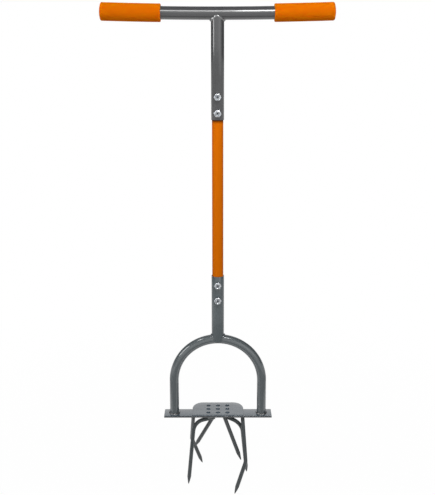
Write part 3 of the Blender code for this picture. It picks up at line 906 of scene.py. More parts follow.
@dataclass
class Fastener:
    """An M8 bolt through the stem, its lock nut and the nut's nylon ring.

    Each profile gives a ring's distance out from the seat and its radius.
    """

    shop: Workshop
    zinc: bpy.types.Material
    nylon: bpy.types.Material
    painted_dark_end: bpy.types.Material
    seat: float = 13.0 * MM
    bolt_radius: float = 4 * MM
    bolt_end: float = 6.8 * MM
    end_profile: Profile = in_mm((5.9, 0.69), (6.2, 1.84), (6.8, 2.3), (6.8, 3.25))
    dimple_radius: float = 2.3 * MM
    dimple_depth: float = MM
    thread_start: float = 0.3 * MM
    thread_pitch: float = 1.25 * MM
    thread_depth: float = 0.55 * MM
    thread_length: float = 14 * MM
    thread_steps: int = 8
    washer_profile: Profile = in_mm((0.0, 4.0), (0.0, 6.25), (0.3, 6.25))
    head_ends: Pair = (0.3 * MM, 5.3 * MM)
    head_profile: Profile = in_mm((5.3, 5.2), (4.95, 4.03), (4.9, 1.3))
    flats: float = 6.5 * MM
    chamfer_share: float = 0.97
    chamfer_slope: float = math.tan(math.radians(30.0))
    chamfer_steps: int = 5
    nut_ends: Pair = (0.0, 6.2 * MM)
    nut_profile: Profile = in_mm(
        (6.2, 6.05), (6.3, 5.8), (6.55, 5.7), (7.3, 5.7), (7.65, 5.6), (7.9, 5.35),
        (8.0, 4.8), (7.85, 4.6), (7.5, 4.55), (6.3, 4.55), (6.2, 4.3), (0.0, 4.3))
    nylon_profile: Profile = in_mm(
        (6.35, 4.5), (7.43, 4.5), (7.55, 4.38), (7.55, 4.17), (7.43, 4.05), (6.35, 4.05))
    front: float = -1.0
    back: float = 1.0
    sides: int = 72

    def row(self, height: float, y: float, radii: Sequence[float]) -> Ring:
        """Return a ring round a bolt's axis, from the axis's height and the radius at each point."""
        return [Vector((radius * math.cos(turn), y, height + radius * math.sin(turn)))
                for turn, radius in zip(circle(self.sides), radii)]

    def rows(self, height: float, way: float, profile: Profile) -> list[Ring]:
        """Return round rings on the front or the back of the stem."""
        return [self.row(height, way * (self.seat + out), [radius] * self.sides) for out, radius in profile]

    def hexagon(self, height: float, way: float, ends: Pair, chamfer_first: bool) -> list[Ring]:
        """Return a hexagon's side, from its inner to its outer end.

        Args:
            height: the axis's height.
            way: the front or the back of the stem.
            ends: how far its two ends lie out from the seat.
            chamfer_first: whether its corners are cut back at the inner end too.

        Returns:
            The rings, whose corners are cut back to a cone at a chamfered end.
        """
        corner = self.flats / math.cos(math.pi / 6.0)
        base = self.flats * self.chamfer_share
        cone = [((corner - base) * self.chamfer_slope * share, base + (corner - base) * share)
                for share in shares(self.chamfer_steps)]
        first = cone if chamfer_first else [(0.0, corner)]
        profile = [(ends[0] + inset, radius) for inset, radius in first]
        profile += [(ends[1] - inset, radius) for inset, radius in cone[::-1]]
        flats = [self.flats / math.cos(turn % (math.pi / 3.0) - math.pi / 6.0) for turn in circle(self.sides)]
        return [self.row(height, way * (self.seat + out), [min(radius, flat) for flat in flats])
                for out, radius in profile]

    def nut_mesh(self, height: float) -> bpy.types.Mesh:
        """Return a lock nut: a chamfered hexagon, a rolled collar and a plain bore."""
        rings = self.hexagon(height, self.front, self.nut_ends, True)
        return self.shop.loft("nut", rings + self.rows(height, self.front, self.nut_profile), looped=True)

    def bolt_mesh(self, height: float) -> bpy.types.Mesh:
        """Return a bolt.

        Args:
            height: the axis's height.

        Returns:
            A dimpled end, a thread that fades in and out, a plain shank and a chamfered head.
        """
        rings = self.rows(height, self.front, self.end_profile)
        count = round(self.thread_length / self.thread_pitch * self.thread_steps)
        for step, share in enumerate(shares(count)):
            along = self.thread_start + self.thread_length * share
            start = min(1.0, (step + 1) / self.thread_steps)
            stop = min(1.0, (count - step) / self.thread_steps)
            teeth = [abs(2.0 * ((along / self.thread_pitch - turn / (2.0 * math.pi)) % 1.0) - 1.0)
                     for turn in circle(self.sides)]
            radii = [self.bolt_radius - self.thread_depth * (1.0 - tooth * start) * stop for tooth in teeth]
            rings.append(self.row(height, along - self.seat - self.bolt_end, radii))
        rings += self.rows(height, self.back, self.washer_profile)
        rings += self.hexagon(height, self.back, self.head_ends, False)
        return self.shop.loft("bolt", rings + self.rows(height, self.back, self.head_profile))

    def build(self, label: str, number: int) -> None:
        """Show one bolt, its nut and the nut's ring.

        Args:
            label: "upper" or "lower", for the stem tube that the bolt goes through.
            number: the bolt's number there.
        """
        low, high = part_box(f"{label}_nut_{number}")
        height = (low.z + high.z) / 2.0
        bolt = self.shop.show(f"bolt_{label}_{number}", self.bolt_mesh(height), self.zinc, Slot.ZINC,
                              f"{label}_bolt_{number}").data
        # The bolt's dimpled end gets the dark plating: a painted dark reflection.
        bolt.materials.append(self.painted_dark_end)
        deepest = -(self.seat + self.bolt_end - self.dimple_depth)
        for polygon in bolt.polygons:
            out = math.hypot(polygon.center.x, polygon.center.z - height)
            polygon.material_index = int(polygon.center.y < deepest and out < self.dimple_radius)
        self.shop.show(f"lock_nut_{label}_{number}", self.nut_mesh(height), self.zinc, Slot.ZINC,
                       f"{label}_nut_{number}")
        rings = self.rows(height, self.front, self.nylon_profile)
        self.shop.show(f"nylon_ring_{label}_{number}", self.shop.loft("nylon_ring", rings, looped=True),
                       self.nylon, Slot.ZINC)


@dataclass
class Stirrup:
    """The bent tube over the foot plate, with the welds at its crown and feet."""

    shop: Workshop
    arch: Arch
    paint: bpy.types.Material
    bead_paint: bpy.types.Material
    wall: float = 1.5 * MM
    leg_share: float = 0.6
    crown_leg: float = 2.4 * MM
    crown_root: float = 0.4 * MM
    crown_spread: float = 2.0
    crown_sag: float = 0.6
    foot_leg: float = 2.1 * MM
    foot_root: float = MM
    foot_reach: float = math.radians(112.0)
    sides: int = 56
    arch_steps: int = 84
    weld_steps: int = 90

    def tube_mesh(self) -> bpy.types.Mesh:
        """Return the bent tube, from one foot over the arch to the other."""
        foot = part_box("foot_bar")[1].z
        reach = self.arch.arch_radius
        part_way = foot + (self.arch.centre - foot) * self.leg_share
        path = [Vector((-reach, 0.0, foot)), Vector((-reach, 0.0, part_way))]
        for share in shares(self.arch_steps):
            turn = math.pi * (1.0 - share)
            path.append(Vector((reach * math.cos(turn), 0.0, self.arch.centre + reach * math.sin(turn))))
        path += [Vector((reach, 0.0, part_way)), Vector((reach, 0.0, foot))]
        return self.shop.tube("stirrup", self.arch.tube_radius, self.wall,
                              lambda radius: swept(path, [radius] * len(path), self.sides))

    def crown_section(self, turn: float) -> Section:
        """Return the section through the crown's weld.

        Args:
            turn: the turn round the stem.

        Returns:
            The section. The bead spreads down the arch in front and behind.
        """
        way = heading(turn)
        x, y = STEM_RADIUS * way.x, STEM_RADIUS * way.y
        seam = self.arch.top(x, y)
        front = way.y ** 2
        beside = Vector((x + self.crown_leg * way.x * abs(way.x), y,
                         seam - self.crown_spread * self.crown_leg * front))
        low, out = self.arch.onto(beside)
        high = way * (STEM_RADIUS - SUNK) + UP * (seam + self.crown_leg * (1.0 - self.crown_sag * front))
        root = way * (STEM_RADIUS - STEM_WALL) + UP * (seam - self.crown_root)
        return Section(root, high, low, (way + out).normalized())

    def foot_section(self, x: float, turn: float) -> Section:
        """Return the section through a foot's weld.

        Args:
            x: the leg's place along X.
            turn: the turn round the leg from its front.

        Returns:
            The section.
        """
        way = heading(turn - QUARTER)
        base = Vector((x, 0.0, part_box("foot_bar")[1].z))
        radius = self.arch.tube_radius
        return Section(base + way * (radius - self.foot_root) - UP * TOUCH_GAP,
                       base + way * (radius - SUNK) + UP * self.foot_leg,
                       base + way * (radius + self.foot_leg) - UP * SUNK,
                       (way + UP).normalized())

    def build(self) -> None:
        """Show the tube and its four welds."""
        self.shop.show("stirrup", self.tube_mesh(), self.paint, Slot.GREY, "stirrup_tube")
        steps = shares(self.weld_steps)
        for side in Side:
            sections = [self.crown_section(math.pi * (share + 0.5) - side.value) for share in steps]
            bead = Bead(end_share=1.0).mesh(self.shop, "crown_bead", sections, False)
            self.shop.show(f"crown_bead_{side.word}", bead, self.paint, Slot.GREY, f"crown_weld_{side.word}")
            leg = side.sign * self.arch.arch_radius
            sections = [self.foot_section(leg, self.foot_reach * (2.0 * share - 1.0)) for share in steps]
            bead = Bead().mesh(self.shop, "foot_bead", sections, False)
            self.shop.show(f"foot_bead_{side.word}", bead, self.bead_paint, Slot.GREY,
                           f"leg_weld_{side.word}")


@dataclass
class FootPlate:
    """The flat foot bar and the studded tread plate on it.

    Each edge gives a ring's inset from the plate's outline and its drop below the plate's top.
    """

    shop: Workshop
    bar_paint: bpy.types.Material
    plate_paint: bpy.types.Material
    bar_round: float = 0.8 * MM
    bar_steps: int = 5
    plate_thickness: float = 2 * MM
    back_corner: float = 22 * MM
    front_corner: float = 2 * MM
    corner_steps: int = 14
    edge_spacing: float = 3 * MM
    stud_count: int = 3
    stud_side_margin: float = 23.65 * MM
    stud_front_margin: float = 4.1 * MM
    stud_back_margin: float = 7.4 * MM
    stud_radius: float = 5.0 * MM
    stud_height: float = 1.9 * MM
    stud_rings: int = 10
    stud_sides: int = 28
    same_point: float = 1e-7
    lip_start: float = 2 * MM
    lip_run: float = 7 * MM
    flat_edge: Profile = in_mm((1.8, 0.0), (1.1, 0.0), (0.5, 0.0), (0.15, 0.15), (0.0, 0.5),
                               (0.0, 1.5), (0.15, 1.85), (0.5, 2.0), (1.1, 2.0), (1.8, 2.0))
    lip_edge: Profile = in_mm((2.8, 0.0), (1.4, 0.35), (0.45, 1.2), (0.0, 2.6), (0.0, 3.7),
                              (0.35, 4.0), (1.65, 4.0), (2.0, 3.6), (2.1, 2.9), (2.8, 2.0))

    def bar_mesh(self) -> bpy.types.Mesh:
        """Return the bar, with the soft edges of rolled flat."""
        low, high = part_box("foot_bar")
        turns = [QUARTER * share for share in shares(self.bar_steps)]
        ends = [(self.bar_round * (1.0 - math.cos(turn)), self.bar_round * math.sin(turn)) for turn in turns]
        rings = [self.bar_ring(low.x + run, size, low, high) for run, size in ends]
        rings += [self.bar_ring(high.x - run, size, low, high) for run, size in ends[::-1]]
        return self.shop.loft("foot_bar", rings)

    def bar_ring(self, x: float, size: float, low: Vector, high: Vector) -> Ring:
        """Return a rounded rectangle across the bar.

        Args:
            x: its place along X.
            size: the radius of its corners.
            low: the bar's lowest corner.
            high: its highest corner.

        Returns:
            The ring.
        """
        points = []
        corners = ((high.y, high.z), (low.y, high.z), (low.y, low.z), (high.y, low.z))
        for quarter, (y, z) in enumerate(corners):
            y -= math.copysign(self.bar_round, y - (low.y + high.y) / 2.0)
            z -= math.copysign(self.bar_round, z - (low.z + high.z) / 2.0)
            for share in shares(self.bar_steps):
                turn = QUARTER * (quarter + share)
                points.append(Vector((x, y + size * math.cos(turn), z + size * math.sin(turn))))
        return points

    def outline(self) -> list[tuple[Vector, Vector]]:
        """Return the plate's outline as points and inward directions, seen from above."""
        low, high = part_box("tread_plate")
        corners = []
        for quarter, (x, y, size) in enumerate((
                (high.x, high.y, self.back_corner), (low.x, high.y, self.back_corner),
                (low.x, low.y, self.front_corner), (high.x, low.y, self.front_corner))):
            middle = Vector((x - math.copysign(size, x), y - size if quarter < 2 else y + size, 0.0))
            for share in shares(self.corner_steps):
                out = heading(QUARTER * (quarter + share))
                corners.append((middle + out * size, -out))
        made = []
        for (here, inward), (there, _) in zip(corners, corners[1:] + corners[:1]):
            pieces = max(1, round((there - here).length / self.edge_spacing))
            made += [(here.lerp(there, piece / pieces), inward) for piece in range(pieces)]
        return made

    def edge_rings(self, top: float) -> list[Ring]:
        """Return rings round the plate's edge, from its top side to its underside.

        Args:
            top: the height of the plate's flat top.

        Returns:
            The rings. Behind the bar the edge is turned down to a lip.
        """
        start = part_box("foot_bar")[1].y + self.lip_start
        outline = [(point, inward, smooth(min(max((point.y - start) / self.lip_run, 0.0), 1.0)))
                   for point, inward in self.outline()]
        rings = []
        for flat, lip in zip(self.flat_edge, self.lip_edge):
            points = []
            for point, inward, share in outline:
                inset, drop = (plain + (turned - plain) * share for plain, turned in zip(flat, lip))
                points.append(point + inward * inset + UP * (top - drop))
            rings.append(points)
        return rings

    def studs(self) -> list[Vector]:
        """Return the middles of the raised studs."""
        low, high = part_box("tread_plate")
        pitch_x = (high.x - low.x - 2.0 * self.stud_side_margin) / self.stud_count
        pitch_y = (high.y - low.y - self.stud_front_margin - self.stud_back_margin) / self.stud_count
        first = low + Vector((self.stud_side_margin, self.stud_front_margin, 0.0))
        return [Vector((first.x + pitch_x * (column + 0.5), first.y + pitch_y * (row + 0.5)))
                for row in range(self.stud_count) for column in range(self.stud_count)]

    def rise(self, point: Vector, studs: Sequence[Vector]) -> float:
        """Return how far the studs lift the plate at a point, seen from above."""
        nearest = min(self.stud_radius, *((point - stud).length for stud in studs))
        return self.stud_height * smooth(math.cos(QUARTER * nearest / self.stud_radius))

    def plate_mesh(self) -> bpy.types.Mesh:
        """Return the pressed plate: its edge, and a top and an underside that the studs lift alike."""
        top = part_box("foot_bar")[1].z + TOUCH_GAP + self.plate_thickness
        rings = self.edge_rings(top)
        studs = self.studs()
        inside = [Vector((point.x, point.y)) for point in rings[0]]
        count = len(inside)
        border = [(index, (index + 1) % count) for index in range(count)]
        for stud in studs:
            inside.append(stud)
            for step in range(1, self.stud_rings + 2):
                radius = self.stud_radius * step / self.stud_rings
                offset = math.pi / self.stud_sides * (step % 2)
                inside += [stud + heading(turn + offset).xy * radius for turn in circle(self.stud_sides)]
        points, _, faces, origins, _, _ = delaunay_2d_cdt(inside, border, [], 1, self.same_point)
        build = bmesh.new()
        loops = self.shop.skin(build, rings, looped=False)
        for loop, height in ((loops[0], top), (loops[-1], top - self.plate_thickness)):
            corners = []
            for point, sources in zip(points, origins):
                on_border = next((loop[source] for source in sources if source < count), None)
                corners.append(on_border or build.verts.new((*point, height + self.rise(point, studs))))
            for face in faces:
                build.faces.new([corners[index] for index in face])
        return self.shop.mesh("tread_plate", build)

    def build(self) -> None:
        """Show the bar and the plate."""
        self.shop.show("flat_foot_bar", self.bar_mesh(), self.bar_paint, Slot.GREY, "foot_bar")
        self.shop.show("studded_tread", self.plate_mesh(), self.plate_paint, Slot.GREY, "tread_plate")


@dataclass
class Claw:
    """The six tines under the foot bar and their welds.

    A root or a tip on the ground is given by X and Y, and a corner or a short tine's tip by X, Y and
    its drop below the bar. The long tines are the left ones: half a turn about the stem makes the right.
    """

    shop: Workshop
    long_paint: bpy.types.Material
    short_paint: bpy.types.Material
    weld_paint: bpy.types.Material
    rod_radius: float = 4 * MM
    tip_length: float = 15 * MM
    tip_steps: int = 16
    blunt_share: float = 0.14
    tip_power: float = 0.8
    sides: int = 36
    bead: Bead = Bead(swell=0.5 * MM)
    weld_leg: float = 1.7 * MM
    weld_root: float = MM
    weld_steps: int = 84
    arm_weld_length: float = 16 * MM
    arm_weld_share: float = 0.7
    arm_weld_steps: int = 30
    arm_toes: Pair = (0.93, 1.25)
    arm_lean: float = 0.6
    arched_root: Pair = (-7.0 * MM, -5.5 * MM)
    arched_corner: Triple = (-49.7 * MM, 3.0 * MM, 19.0 * MM)
    arched_tip: Pair = (-61.6 * MM, -22.1 * MM)
    arched_bend: float = 29.5 * MM
    arched_steps: int = 40
    kinked_root: Pair = (-51.0 * MM, 0.5 * MM)
    kinked_corner: Triple = (-56.7 * MM, 46.0 * MM, 81.0 * MM)
    kinked_tip: Pair = (-34.3 * MM, 56.7 * MM)
    kinked_bend: float = 14 * MM
    kinked_steps: int = 20
    short_left: tuple[Pair, Triple] = ((-4.6 * MM, 6.0 * MM), (-49.0 * MM, 26.5 * MM, 88.0 * MM))
    short_right: tuple[Pair, Triple] = ((12.6 * MM, -6.0 * MM), (47.6 * MM, -26.5 * MM, 88.0 * MM))
    bar_bottom: float = field(init=False)

    def __post_init__(self) -> None:
        """Read the height of the foot bar's underside off the frame."""
        self.bar_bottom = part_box("foot_bar")[0].z

    def below_bar(self, spot: Triple) -> Vector:
        """Return the point at a spot's X and Y and at its drop below the bar."""
        return Vector((spot[0], spot[1], self.bar_bottom - spot[2]))

    def rod_mesh(self, name: str, path: Sequence[Vector], cut_top: bool) -> bpy.types.Mesh:
        """Return a pointed rod.

        Args:
            name: the mesh's name.
            path: its centre line, from the bar to the tip.
            cut_top: whether its upper end is cut level.

        Returns:
            The rod, drawn to a blunt point that is cut level.
        """
        tip = path[-1]
        back = (path[-2] - tip).normalized()
        points = list(path[:-1])
        radii = [self.rod_radius] * len(points)
        for share in shares(self.tip_steps)[::-1]:
            size = self.blunt_share + (1.0 - self.blunt_share) * share ** self.tip_power
            points.append(tip + back * (self.tip_length * share))
            radii.append(self.rod_radius * size)
        rings = swept(points, radii, self.sides)
        rings[-1] = levelled(rings[-1], back, tip.z)
        if cut_top:
            rings[0] = levelled(rings[0], points[1] - points[0], points[0].z)
        return self.shop.loft(name, rings)

    def root_bead(self, name: str, top: Vector, below: Vector) -> bpy.types.Mesh:
        """Return the bead round a slanting rod under the bar.

        Args:
            name: the mesh's name.
            top: the middle of the rod's upper end.
            below: another point on the rod's centre line.

        Returns:
            The bead, all the way round.
        """
        run = (below - top).normalized()
        seat = Vector((top.x, top.y, self.bar_bottom))
        sections = []
        for way in (heading(turn) for turn in circle(self.weld_steps)):
            edge = seat + way * (self.rod_radius / math.sqrt(1.0 - way.dot(run) ** 2))
            sections.append(Section(edge - way * self.weld_root + UP * SUNK,
                                    edge - way * SUNK + run * self.weld_leg,
                                    edge + way * self.weld_leg + UP * SUNK, (way - UP).normalized()))
        return self.bead.mesh(self.shop, name, sections, True)

    def arm_bead(self, start: Vector, corner: Vector) -> bpy.types.Mesh:
        """Return the bead along both sides and round the end of an arm under the bar.

        Args:
            start: the inner end of the arm's centre line.
            corner: the corner that the arm runs towards.

        Returns:
            The bead, from one side round the end to the other.
        """
        run = (corner - start).normalized()
        level = Vector((run.x, run.y, 0.0)).normalized()
        side = UP.cross(level)
        steps = shares(self.arm_weld_steps)
        spots = [(self.arm_weld_length * (1.0 - share), side) for share in steps[:-1]]
        spots += [(0.0, side * math.cos(turn) - level * math.sin(turn))
                  for turn in (math.pi * share for share in steps)]
        spots += [(self.arm_weld_length * self.arm_weld_share * share, -side) for share in steps[1:]]
        rod_toe, bar_toe = (self.rod_radius * share for share in self.arm_toes)
        sections = []
        for along, way in spots:
            centre = start + run * along
            contact = Vector((centre.x, centre.y, self.bar_bottom))
            sections.append(Section(contact - UP * TOUCH_GAP, centre + way * rod_toe + UP * self.weld_root,
                                    contact + way * bar_toe + UP * SUNK,
                                    (way - UP * self.arm_lean).normalized()))
        return self.bead.mesh(self.shop, "arm_bead", sections, False)

    def show_tine(self, kind: str, side: Side, rod: bpy.types.Mesh, bead: bpy.types.Mesh,
                  paint: bpy.types.Material) -> None:
        """Show a tine and its bead.

        Args:
            kind: "arched", "kinked" or "short".
            side: which side's tine it is.
            rod: the rod's mesh.
            bead: the bead's mesh.
            paint: the rod's paint.
        """
        parts = (("rod", rod, paint, "tine"), ("bead", bead, self.weld_paint, "weld"))
        for part, mesh, finish, node in parts:
            self.shop.show(f"{kind}_{part}_{side.word}", mesh, finish, Slot.GREY,
                           f"{kind}_{node}_{side.word}")

    def show_pair(self, kind: str, rod: bpy.types.Mesh, bead: bpy.types.Mesh) -> None:
        """Show a long left hand tine and its bead, and their half turn copies on the right.

        Args:
            kind: "arched" or "kinked".
            rod: the rod's mesh.
            bead: the bead's mesh.
        """
        for side in Side:
            copies = rod.copy(), bead.copy()
            for copy in copies:
                copy.transform(Matrix.Rotation(side.value, 4, "Z"))
            self.show_tine(kind, side, *copies, self.long_paint)

    def build(self) -> None:
        """Show the six tines and their beads."""
        seat = self.bar_bottom - TOUCH_GAP

        corner = self.below_bar(self.arched_corner)
        reach = math.dist(self.arched_corner[:2], self.arched_root)
        slope = math.atan2(seat - self.rod_radius - corner.z, reach)
        start = Vector((*self.arched_root, seat - self.rod_radius * math.cos(slope)))
        path = bent_path(start, corner, Vector((*self.arched_tip, 0.0)), self.arched_bend, self.arched_steps)
        self.show_pair("arched", self.rod_mesh("arched_tine", path, False), self.arm_bead(start, corner))

        top = Vector((*self.kinked_root, seat))
        corner = self.below_bar(self.kinked_corner)
        path = bent_path(top, corner, Vector((*self.kinked_tip, 0.0)), self.kinked_bend, self.kinked_steps)
        rod = self.rod_mesh("kinked_tine", path, True)
        self.show_pair("kinked", rod, self.root_bead("kinked_bead", top, corner))

        for side, (root_spot, tip_spot) in zip(Side, (self.short_left, self.short_right)):
            top = Vector((*root_spot, seat))
            tip = self.below_bar(tip_spot)
            self.show_tine("short", side, self.rod_mesh("short_tine", [top, tip], True),
                           self.root_bead("short_bead", top, tip), self.short_paint)


@dataclass(frozen=True)
class Softbox:
    """A square lamp that faces the tool."""

    name: str
    place: Triple
    aim: Triple
    size: Pair
    power: float

    def build(self) -> None:
        """Hang the lamp."""
        light = bpy.data.lights.new(self.name, "AREA")
        light.shape = "RECTANGLE"
        light.size, light.size_y = self.size
        light.energy = self.power
        lamp = placed(self.name, light)
        lamp.location = self.place
        lamp.rotation_euler = (Vector(self.aim) - Vector(self.place)).to_track_quat("-Z", "Y").to_euler()


@dataclass
class Studio:
    """A pale floor that runs up to a wall behind the tool, soft lamps and the photograph's camera."""

    picture: tuple[int, int] = (435, 495)
    eye: Triple = (0.0, -1.4084, 0.9014)
    pitch: float = math.radians(9.985)
    roll: float = math.radians(0.06)
    focal_pixels: float = 726.2
    principal: Pair = (217.67, 174.48)
    sensor_height: float = 36.0
    sight: float = 50.0
    floor_half: float = 9.0
    floor_drop: float = 0.3 * MM
    wall_distance: float = 6.0
    wall_half: float = 2.35
    wall_height: float = 5.0
    wall_drop: float = 0.2 * MM
    sweep: float = 1.2
    sweep_steps: int = 16
    near_floor: Triple = (0.50, 0.50, 0.50)
    far_floor: Triple = (0.85, 0.85, 0.85)
    floor_change: Pair = (0.5, 1.2)
    front_glow: float = 0.42
    floor_glow: float = 0.985
    wall_glow: float = 1.0
    shaded: Pair = (0.35, 1.1)
    front_fade: Pair = (-0.30, -0.14)
    view_half: float = 0.50
    view_spread: float = 0.31
    view_fade: Pair = (-0.02, 0.02)
    dim: Triple = (0.02, 0.02, 0.02)
    front_light: Triple = (0.88, 0.88, 0.88)
    front_edges: Pair = (-0.1, -0.95)
    top_light: Triple = (0.12, 0.12, 0.125)
    top_edges: Pair = (0.15, 0.95)
    lamps: tuple[Softbox, ...] = (
        Softbox("key_left", (-1.96, -0.64, 1.16), (0.0, 0.0, 0.75), (0.80, 0.90), 10.0),
        Softbox("key_top", (0.02, -0.647, 1.44), (0.02, 0.0, 0.97), (0.64, 0.26), 2.9),
        Softbox("key_top_right", (0.28, -0.651, 1.45), (0.28, 0.0, 0.97), (0.44, 0.26), 4.4),
        Softbox("glint_left", (-0.85, -0.34, 1.66), (0.0, 0.0, 0.96), (0.30, 0.30), 2.6),
        Softbox("fill_right", (1.9, -1.9, 1.1), (0.0, 0.0, 0.5), (2.6, 1.8), 6.0),
    )

    def camera(self) -> None:
        """Set up the camera at the photograph's viewpoint, with its frame shifted as the photograph's is."""
        width, height = self.picture
        lens = bpy.data.cameras.new("camera")
        lens.sensor_fit = "VERTICAL"
        lens.sensor_height = self.sensor_height
        lens.sensor_width = self.sensor_height * width / height
        lens.lens = self.focal_pixels * self.sensor_height / height
        lens.shift_x = (width / 2.0 - self.principal[0]) / height
        lens.shift_y = (self.principal[1] - height / 2.0) / height
        lens.clip_end = self.sight
        camera = placed("camera", lens)
        camera.location = self.eye
        aim = Matrix.Rotation(QUARTER - self.pitch, 3, "X") @ Matrix.Rotation(-self.roll, 3, "Z")
        camera.rotation_euler = aim.to_euler()
        bpy.context.scene.camera = camera

    def pale(self, name: str, glow: float) -> bpy.types.Material:
        """Return a pale stage material that shows nearly white to the camera and in reflections.

        Args:
            name: the material's name.
            glow: the light that it adds to its own shade for those rays.

        Returns:
            The material.
        """
        material = bpy.data.materials.new(name)
        material.use_nodes = True
        nodes = material.node_tree.nodes
        nodes.remove(nodes["Principled BSDF"])
        sheet = NodeSheet(material.node_tree)
        camera, glossy, passing = (sheet.add("ShaderNodeLightPath", output=f"Is {ray} Ray")
                                   for ray in ("Camera", "Glossy", "Transmission"))
        away = sheet.add("ShaderNodeVectorMath", {0: sheet.place()}, "Value", operation="LENGTH")
        across, back = (sheet.along(sheet.place(), axis) for axis in "XY")
        half = back * self.view_spread + self.view_half
        in_view = ((half - across) * (half + across)).eased(*self.view_fade)
        seen = (camera + glossy + passing) * back.eased(*self.front_fade) * in_view

        far = away.eased(*self.floor_change)
        plain = sheet.glowing(sheet.blend(far, self.near_floor, self.far_floor), far * self.front_glow)
        lit = sheet.glowing((1.0 - glow, 1.0 - glow, 1.0 - glow, 1.0), glow)
        white = sheet.add("ShaderNodeEmission", {"Color": (1.0, 1.0, 1.0, 1.0), "Strength": 1.0})
        both = sheet.add("ShaderNodeMixShader", {0: away.eased(*self.shaded), 1: lit, 2: white})
        mixed = sheet.add("ShaderNodeMixShader", {0: seen, 1: plain, 2: both})
        sheet.feed(nodes["Material Output"].inputs["Surface"], mixed)
        return material

    def stage(self, name: str, faces: Sequence[Sequence[Triple]], material: bpy.types.Material) -> None:
        """Show a stage surface.

        Args:
            name: its name.
            faces: the corners of each face.
            material: its material.
        """
        build = bmesh.new()
        for corners in faces:
            build.faces.new([build.verts.new(corner) for corner in corners])
        bmesh.ops.remove_doubles(build, verts=build.verts, dist=0.1 * MM)
        mesh = bpy.data.meshes.new(name)
        build.to_mesh(mesh)
        build.free()
        mesh.shade_smooth()
        mesh.materials.append(material)
        placed(name, mesh)

    def wall_faces(self) -> list[list[Triple]]:
        """Return the faces of the wall behind the tool, which sweeps up out of the floor."""
        profile = [(self.wall_distance - self.sweep * (1.0 - math.sin(QUARTER * share)),
                    self.sweep * (1.0 - math.cos(QUARTER * share)) - self.wall_drop)
                   for share in shares(self.sweep_steps)]
        profile.append((self.wall_distance, self.wall_height))
        half = self.wall_half
        return [[(-half, y, z), (half, y, z), (half, next_y, next_z), (-half, next_y, next_z)]
                for (y, z), (next_y, next_z) in zip(profile, profile[1:])]

    def build(self) -> None:
        """Set up the camera, the floor, the wall, the lamps and the surroundings."""
        self.camera()
        half, under = self.floor_half, -self.floor_drop
        corners = [(-half, -half, under), (half, -half, under), (half, half, under), (-half, half, under)]
        self.stage("floor", [corners], self.pale("pale_floor", self.floor_glow))
        self.stage("backdrop", self.wall_faces(), self.pale("pale_wall", self.wall_glow))
        for lamp in self.lamps:
            lamp.build()
        world = bpy.data.worlds.new("studio")
        bpy.context.scene.world = world
        world.use_nodes = True
        sheet = NodeSheet(world.node_tree)
        way = sheet.add("ShaderNodeTexCoord", output="Generated")
        front = sheet.along(way, "Y").eased(*self.front_edges)
        above = sheet.along(way, "Z").eased(*self.top_edges)
        colour = sheet.blend(above, sheet.blend(front, self.dim, self.front_light), self.top_light)
        sheet.feed(world.node_tree.nodes["Background"].inputs["Color"], colour)
        bpy.context.scene.view_settings.view_transform = "Standard"


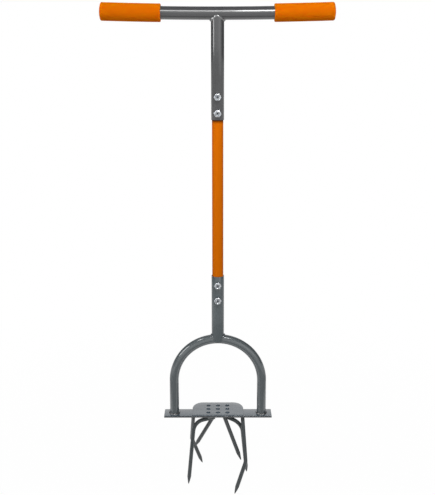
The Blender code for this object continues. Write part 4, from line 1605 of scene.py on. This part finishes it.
def main() -> None:
    """Build the tool's looks round the frame, then the studio."""
    logging.basicConfig(level=logging.INFO, format="%(name)s: %(message)s")
    shop = Workshop()
    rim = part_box("upper_stem_tube")[0].z
    bar_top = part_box("foot_bar")[1].z
    short_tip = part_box("short_tine_left")[0].z
    # The grey paints below are one grey set lighter or darker part by part: partly the parts' own cooler or
    # bluer tones, partly painted light and shade that even out how the lamps fall on each part.
    bead_grey = PowderCoat("weld_bead_paint", (0.060, 0.061, 0.063), roughness=0.25, metallic=0.3,
                           gloss_index=2.2).material()
    # The upper stem's paint is darkened along its lower rim: painted shade.
    upper_grey = PowderCoat("grey_powder_coat", (0.052, 0.053, 0.055), specular=0.2,
                            wear_and_shade_height=rim + 0.3 * MM, wear_and_shade_fade=1.5 * MM, wear_and_shade_factor=0.1,
                            wear_and_shade_ragged=0.5 * MM).material()
    stem_grey = PowderCoat("lower_stem_powder_coat", (0.066, 0.086, 0.094), specular=0.2).material()
    lower_grey = PowderCoat("cool_grey_powder_coat", (0.108, 0.126, 0.133), specular=0.2).material()
    # The foot bar's paint is darkened along its lower front edge and underside: painted shade.
    bar_grey = PowderCoat("foot_bar_powder_coat", (0.064, 0.095, 0.123), roughness=0.32,
                          wear_and_shade_height=bar_top - 0.9 * MM, wear_and_shade_fade=1.2 * MM, wear_and_shade_factor=0.15,
                          wear_and_shade_ragged=0.5 * MM).material()
    tread_grey = PowderCoat("tread_powder_coat", (0.064, 0.095, 0.123), roughness=0.32,
                            peel=0.02 * MM).material()
    # The orange tube's paint is darkened just under the upper stem's rim: painted shadow.
    orange = PowderCoat("orange_powder_coat", (0.60, 0.131, 0.0), roughness=0.5, metallic=0.0,
                        specular=0.03, gloss=0.0, drift=0.04, fleck=0.01, wear_and_shade_height=rim + MM,
                        wear_and_shade_fade=-9 * MM, wear_and_shade_factor=0.15, wear_and_shade_ragged=MM).material()
    long_grey = PowderCoat("long_tine_paint", (0.060, 0.070, 0.073), roughness=0.31, specular=0.45,
                           gloss=0.1, wear_and_shade_height=0.0).material()
    short_grey = PowderCoat("short_tine_paint", (0.074, 0.082, 0.085), roughness=0.31, specular=0.45,
                            gloss=0.1, wear_and_shade_height=short_tip).material()
    foam = FoamRubber("orange_foam_rubber", (0.54, 0.119, 0.0)).material()
    zinc = ZincPlate("bright_zinc_plate", (0.74, 0.76, 0.77), (0.60, 0.64, 0.70), 0.16).material()
    # Dark plating for the bolts' dimpled ends: a painted dark reflection.
    painted_dark_end = ZincPlate("dull_bolt_end", (0.10, 0.11, 0.12), (0.07, 0.08, 0.09), 0.45).material()
    nylon = Nylon("milky_nylon", (0.72, 0.76, 0.78)).material()

    handle = Handle(shop, upper_grey, bead_grey, foam)
    arch = Arch()
    handle.build()
    Stem(shop, arch, handle, upper_grey, stem_grey, orange).build()
    fastener = Fastener(shop, zinc, nylon, painted_dark_end)
    for label in ("upper", "lower"):
        for number in (1, 2):
            fastener.build(label, number)
    Stirrup(shop, arch, lower_grey, bead_grey).build()
    FootPlate(shop, bar_grey, tread_grey).build()
    Claw(shop, long_grey, short_grey, lower_grey).build()
    Studio().build()

    bpy.context.view_layer.update()
    LOG.info("%d pieces shown", len(shop.pieces))


if __name__ == "__main__":
    main()
